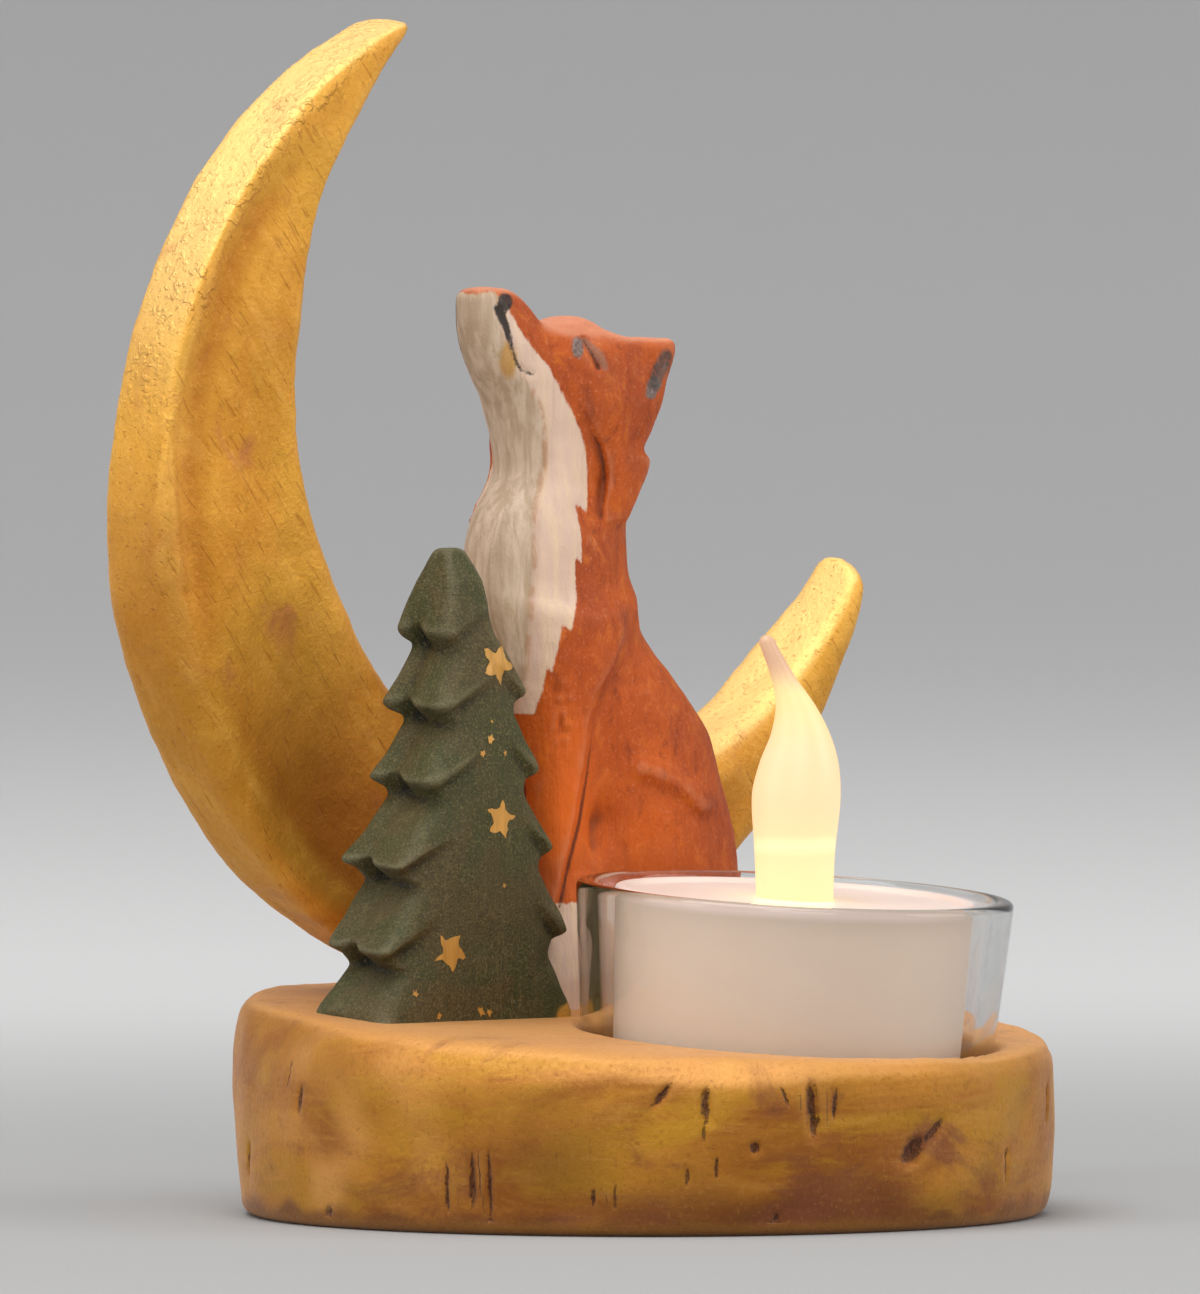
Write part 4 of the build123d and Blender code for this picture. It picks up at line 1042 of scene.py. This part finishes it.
def buildFox(plan):
    local, quads = carvedMesh(foxField, plan)
    local = pushed(local, faceNormals(local, quads), carving(local, plan["carving"]))
    px, py, ph = local.T
    sight = foxSight(px, py, plan)
    chips = sum(hump(sight, a, wide) * hump(ph, b, tall) for a, b, wide, tall in plan["chips"])
    local = pushed(local, faceNormals(local, quads), chips * carving(local, plan["chipCarving"]))

    def spot(name):
        a, b, wide, tall = plan[name]
        return (1 - np.hypot((sight - a) / wide, (ph - b) / tall)) * min(wide, tall)

    def stroke(name):
        widths = plan["widths"][name]
        heights = np.linspace(plan[name][-1][1], plan[name][0][1], len(widths))
        return np.interp(ph, heights, widths) - lineDistance(sight, ph, plan[name])

    sockTop, sockBack = plan["sock"]
    socks = np.minimum(sockTop - ph, sockBack - px)
    tailTip = np.minimum(plan["tailTip"][0] - py, px - plan["tailTip"][1])
    # painted light on the leg and haunch
    bright = np.zeros(len(local))
    for a, b, wide, tall, amount in plan["bright"]:
        bright = bright + amount * hump(sight, a, wide) * hump(ph, b, tall)
    verts, paint = standing(local, plan["place"]), foxMaterial(foxPaints)
    return makePiece("fox", verts, quads, paint, "figurine", ["fox"], {
        # bright is painted light on the leg and haunch
        "hollow": hollows(local, quads, 10), "bright": bright,
        # sun is painted light on the top of the head
        "sun": softStep(faceNormals(local, quads)[:, 2], 0.45, 0.95) * softStep(ph, 60, 66),
        "ink": np.maximum(spot("nose"), stroke("mouth")),
        "grey": np.maximum(spot("eyeSpot"), stroke("earPale")),
        # brown: the painted eye slit, and painted shade along the cheek and leg creases
        "brown": np.maximum.reduce([stroke("eyeSlit"), stroke("cheekCut"), stroke("legCut")]),
        "lid": stroke("lid"), "soot": stroke("earDark"), "ochre": np.where(py < 0, spot("ochre"), -1),
        "white": np.maximum.reduce([areaDistance(sight, ph, plan["white"]), socks, tailTip]),
        "tan": areaDistance(sight, ph, plan["tan"])})


buildFox(foxPlan)


# Glass cup, tealight and flame, turned about the axis of the recess

cupPlan = {
    "seat": (3.0, -17.272, 11.649), "segments": 160,  # a hair below the recess's floor
    "rows": [  # radius, height, rounding
        (0, 0), (20.9, 0, 1.0), (22.8, 22.6, 0.95), (20.7, 22.6, 0.95), (19.052, 3.0, 0.8), (0, 3.0)],
}
cup = turnedPiece("glassCup", roundedRows(cupPlan["rows"]), cupPlan["seat"], cupPlan["segments"],
                  glassMaterial(), "glass", ["glass_cup"])
cup.visible_shadow = False  # clear glass lets the light through to the tealight

lightPlan = {
    "floor": (3.0, -17.502, 14.64), "segments": 128,  # on the floor of the glass
    "colour": (0.72, 0.58, 0.53), "rough": 0.42,
    "side": {"low": 33.6, "high": 34.7, "colour": (0.5, 0.385, 0.305)},  # painted shade: darker below these levels
    "shell": [  # radius, height, rounding
        (17.9, 0, 0.3), (18.7, 19.2, 0.5), (17.6, 19.2, 0.4), (17.1, 18.7, 0.3), (4.1, 18.7, 0.15),
        (4.1, 17.5), (17.5, 17.5), (16.7, 0, 0.2)],
    "flameLevel": 18.7, "flameTall": 26.5, "flameSegments": 64,
    "flame": [  # radius, height, shift of the bent tip
        (4.0, 18.7, 0), (4.2, 23.7, 0.2), (4.6, 29.2, 0.3), (4.1, 32.7, 0.2), (3.1, 35.7, 0.2),
        (2.1, 38.7, 0.7), (1.3, 41.7, 1.8), (0.9, 44.9, 3.0)],
    "flameFoot": [  # radius, height, rounding
        (0, 24.9), (3.2, 24.9, 0.3), (3.2, 16.6, 0.1), (5.3, 16.6, 0.1), (5.3, 17.5, 0.1), (4.0, 17.5)],
}


def flameProfile(plan):
    rows = smoothRows([(height, radius, shift) for radius, height, shift in plan["flame"]], 6)
    top, radius, shift = rows[-1]
    profile = [(*row, 0.0) for row in roundedRows(plan["flameFoot"])]
    profile += [(r, z, s) for z, r, s in rows]
    for a in np.linspace(0.3, 1.3, 5):
        profile.append((radius * math.cos(a), top + radius * math.sin(a), shift + 0.1 * a))
    return profile + [(0, top + radius, shift + 0.15)]


def buildTealight(plan):
    white = plasticMaterial("whitePlastic", plan["colour"], plan["rough"], plan["side"])
    turnedPiece("candleShell", roundedRows(plan["shell"]), plan["floor"], plan["segments"],
                white, "tealight", ["candle_shell"])
    glowing = flameMaterial(plan["floor"][2] + plan["flameLevel"], plan["flameTall"])
    turnedPiece("flameLens", flameProfile(plan), plan["floor"], plan["flameSegments"],
                glowing, "tealight", ["flame_lens"])
    print("cup and tealight made")


buildTealight(lightPlan)


# Painted stars on the tree, laid on its surface by nodes

starPlan = {  # place along X, height, size, turn
    "spots": [(-17.8, 36.4, 2.3, 8.0), (-18.5, 20.3, 2.15, -6.0), (-25.8, 6.7, 2.3, 14.0)],
    "dots": [
        (-19.4, 28.6, 0.45, 0.0), (-20.6, 27.0, 0.35, 20.0), (-17.6, 27.2, 0.35, 50.0),
        (-19.2, 30.4, 0.25, 0.0), (-30.8, 2.6, 0.4, 10.0), (-27.6, 0.3, 0.5, 5.0),
        (-21.6, 0.5, 0.6, 30.0), (-20.2, 0.4, 0.5, 12.0), (-18.0, 13.5, 0.25, 15.0)],
    "lift": 0.05 * mm, "before": 12.0,  # height above the paint, and how far in front the stars start
}


def starNodes(material):
    group = bpy.data.node_groups.new("paintedStars", "GeometryNodeTree")
    for name, way, kind in (("Geometry", "INPUT", "Geometry"), ("Surface", "INPUT", "Object"),
                            ("Lift", "INPUT", "Float"), ("Geometry", "OUTPUT", "Geometry")):
        group.interface.new_socket(name, in_out=way, socket_type="NodeSocket" + kind)

    def add(kind, links=None, **settings):
        node = group.nodes.new(kind)
        for key, value in settings.items():
            setattr(node, key, value)
        for key, value in (links or {}).items():
            if isinstance(value, bpy.types.NodeSocket):
                group.links.new(value, node.inputs[key])
            else:
                node.inputs[key].default_value = value
        return node

    def vector(operation, links):
        return add("ShaderNodeVectorMath", links, operation=operation).outputs[0]

    given = add("NodeGroupInput").outputs
    star = add("GeometryNodeCurveStar", {
        "Points": 5, "Inner Radius": 0.52, "Outer Radius": 1.0, "Twist": 0.1})
    filled = add("GeometryNodeFillCurve", {"Curve": star.outputs["Curve"]})
    dense = add("GeometryNodeSubdivideMesh", {"Mesh": filled.outputs["Mesh"], "Level": 3})
    size = add("GeometryNodeInputNamedAttribute", {"Name": "size"}, data_type="FLOAT")
    turn = add("GeometryNodeInputNamedAttribute", {"Name": "turn"}, data_type="FLOAT_VECTOR")
    spin = add("FunctionNodeEulerToRotation", {"Euler": turn.outputs["Attribute"]})
    spread = add("GeometryNodeInstanceOnPoints", {
        "Points": given["Geometry"], "Instance": dense.outputs["Mesh"],
        "Rotation": spin.outputs["Rotation"], "Scale": size.outputs["Attribute"]})
    real = add("GeometryNodeRealizeInstances", {"Geometry": spread.outputs["Instances"]})
    ragged = add("ShaderNodeTexNoise", {"Scale": 900.0, "Detail": 2.0})
    centred = vector("SUBTRACT", {0: ragged.outputs["Color"], 1: (0.5, 0.5, 0.5)})
    jitter = vector("MULTIPLY", {0: centred, 1: (0.0011, 0.0, 0.0011)})
    torn = add("GeometryNodeSetPosition", {"Geometry": real.outputs["Geometry"], "Offset": jitter})
    info = add("GeometryNodeObjectInfo", {"Object": given["Surface"]}, transform_space="RELATIVE")
    ray = add("GeometryNodeRaycast", {
        "Target Geometry": info.outputs["Geometry"], "Ray Direction": (0, 1, 0), "Ray Length": 0.05})
    missed = add("FunctionNodeBooleanMath", {0: ray.outputs["Is Hit"]}, operation="NOT")
    kept = add("GeometryNodeDeleteGeometry", {
        "Geometry": torn.outputs["Geometry"], "Selection": missed.outputs[0]})
    rise = vector("SCALE", {0: ray.outputs["Hit Normal"], "Scale": given["Lift"]})
    spot = vector("ADD", {0: ray.outputs["Hit Position"], 1: rise})
    laid = add("GeometryNodeSetPosition", {"Geometry": kept.outputs["Geometry"], "Position": spot})
    painted = add("GeometryNodeSetMaterial", {"Geometry": laid.outputs["Geometry"], "Material": material})
    add("NodeGroupOutput", {"Geometry": painted.outputs["Geometry"]})
    return group


def buildStars(plan, surface):
    spots = plan["spots"] + plan["dots"]
    level, front = groundLevel(treePlan["place"][1]), treePlan["place"][1] - plan["before"]
    mesh = bpy.data.meshes.new("starPoints")
    mesh.from_pydata([(x * mm, front * mm, (level + h) * mm) for x, h, _, _ in spots], [], [])
    mesh.attributes.new("size", "FLOAT", "POINT").data.foreach_set("value", [r * mm for _, _, r, _ in spots])
    turns = mesh.attributes.new("turn", "FLOAT_VECTOR", "POINT")
    turns.data.foreach_set("vector", [v for _, _, _, t in spots for v in (math.pi / 2, math.radians(t), 0.0)])
    points = bpy.data.objects.new("starPoints", mesh)
    bpy.context.scene.collection.objects.link(points)
    modifier = points.modifiers.new("stars", "NODES")
    modifier.node_group = starNodes(starMaterial())
    items = modifier.node_group.interface.items_tree
    sockets = {item.name: item.identifier for item in items if item.in_out == "INPUT"}
    modifier[sockets["Surface"]] = surface
    modifier[sockets["Lift"]] = plan["lift"]
    made = bpy.data.meshes.new_from_object(points.evaluated_get(bpy.context.evaluated_depsgraph_get()))
    bpy.data.objects.remove(points)
    made.name = "treeStars"
    stars = bpy.data.objects.new("treeStars", made)
    bpy.context.scene.collection.objects.link(stars)
    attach(stars, "figurine")
    print("stars", len(made.vertices), "points")


buildStars(starPlan, tree)


# Small pieces that keep their construction shape

smallPieces = {
    woodMaterial(): ["moon_dowels", "fox_dowels", "tree_dowels"],
    plasticMaterial("palePlastic", (0.72, 0.7, 0.68), 0.45): [
        "bottom_plate", "battery_door", "battery_holder", "switch_housing"],
    plasticMaterial("blackPlastic", (0.04, 0.04, 0.042), 0.4): ["switch_knob"],
    plasticMaterial("ledResin", (0.8, 0.55, 0.2), 0.2): ["led"],
    metalMaterial("steel", (0.62, 0.61, 0.58)): [
        "coin_cell", "positive_contact", "negative_contact", "led_leads"],
}
for material, names in smallPieces.items():
    for name in names:
        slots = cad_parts[name].data.materials
        if not slots:
            slots.append(material)
        for n in range(len(slots)):
            slots[n] = material
print("small pieces painted")


# Stage, light and camera

stagePlan = {
    "segments": 128,
    "rows": [  # radius and height of the floor, which rises into the backdrop, in metres
        (0, 0), (0.35, 0), (0.7, 0.0), (1.0, 0.03), (1.35, 0.12),
        (1.7, 0.3), (2.0, 0.58), (2.2, 0.95), (2.3, 1.5)],
}


def buildStage(plan):
    rows, count = smoothRows(plan["rows"], 5), plan["segments"]
    turns = [2 * math.pi * n / count for n in range(count)]
    verts, faces = [(0, 0, 0)], []
    for r, z in rows[1:]:
        verts += [(r * math.cos(a), r * math.sin(a), max(z, 0)) for a in turns]
    for n in range(count):
        m = (n + 1) % count
        faces.append((0, 1 + n, 1 + m))
        for k in range(len(rows) - 2):
            a, b = 1 + k * count, 1 + (k + 1) * count
            faces.append((a + n, b + n, b + m, a + m))
    mesh = bpy.data.meshes.new("stageFloor")
    mesh.from_pydata(verts, [], faces)
    mesh.polygons.foreach_set("use_smooth", [True] * len(mesh.polygons))
    material, kit = newMaterial("stagePaper")
    flat = kit.scaled(kit.place(), (1, 1, 0))
    away = kit.add("VectorMath", {0: flat}, operation="LENGTH").outputs["Value"]
    grain = kit.noise(kit.place(), 900.0, 3.0)
    # painted shade and light: paper darker near the middle and on the backdrop, lighter in a band between
    colour = kit.mix(kit.step(away, 0.1, 0.75), (0.36, 0.36, 0.36), (0.74, 0.74, 0.74))
    colour = kit.mix(kit.step(away, 0.8, 1.2), colour, (0.5, 0.5, 0.503))
    colour = kit.mix(kit.step(grain, 0.3, 0.7, 0.0, 0.03), colour, (0.4, 0.4, 0.4))
    finishMaterial(kit, {"Base Color": colour, "Roughness": 0.85, "Specular IOR Level": 0.2})
    mesh.materials.append(material)
    floor = bpy.data.objects.new("stageFloor", mesh)
    bpy.context.scene.collection.objects.link(floor)


buildStage(stagePlan)

lightAim = Vector((0, 0, 0.06))
lightPlaces = {  # place, power, size, colour
    "topSoft": ((-0.4, -0.05, 1.3), 16.5, 1.2, (1.0, 1.0, 1.0)),
    "frontSoft": ((-1.0, -1.15, 0.75), 7.4, 1.0, (1.0, 0.985, 0.97)),
    "leftSoft": ((-1.2, 0.5, 0.6), 4.5, 0.9, (1.0, 0.98, 0.95)),
    "rightSoft": ((0.85, -1.05, 0.6), 7.0, 0.9, (1.0, 0.98, 0.96)),
}
for name, (place, power, size, colour) in lightPlaces.items():
    lamp = bpy.data.lights.new(name, "AREA")
    lamp.energy, lamp.size, lamp.color = power, size, colour
    holder = bpy.data.objects.new(name, lamp)
    holder.location = place
    holder.rotation_euler = (lightAim - Vector(place)).to_track_quat("-Z", "Y").to_euler()
    bpy.context.scene.collection.objects.link(holder)

world = bpy.data.worlds.new("studio")
bpy.context.scene.world = world
world.use_nodes = True
world.node_tree.nodes.clear()
worldKit = NodeKit(world.node_tree)
rays = worldKit.add("LightPath").outputs
shine = worldKit.math("MAXIMUM", rays["Is Glossy Ray"], rays["Is Transmission Ray"])
strength = worldKit.step(shine, 0.0, 1.0, 0.4, 0.9)  # glass and metal see a brighter room
sky = worldKit.add("Background", {"Color": (1.0, 1.0, 1.0), "Strength": strength})
worldKit.add("OutputWorld", {"Surface": sky.outputs[0]})

cameraPlan = {"place": (-710.4, -703.8, 59.3), "turn": -45.0, "lens": 265.4}
cameraData = bpy.data.cameras.new("photoCamera")
cameraData.lens, cameraData.sensor_width = cameraPlan["lens"], 36.0
cameraData.clip_start, cameraData.clip_end = 0.05, 20.0
camera = bpy.data.objects.new("photoCamera", cameraData)
camera.location = Vector(cameraPlan["place"]) * mm
camera.rotation_euler = (math.pi / 2, 0, math.radians(cameraPlan["turn"]))
bpy.context.scene.collection.objects.link(camera)
bpy.context.scene.camera = camera
bpy.context.scene.view_settings.view_transform = "Standard"

print("stage ready")
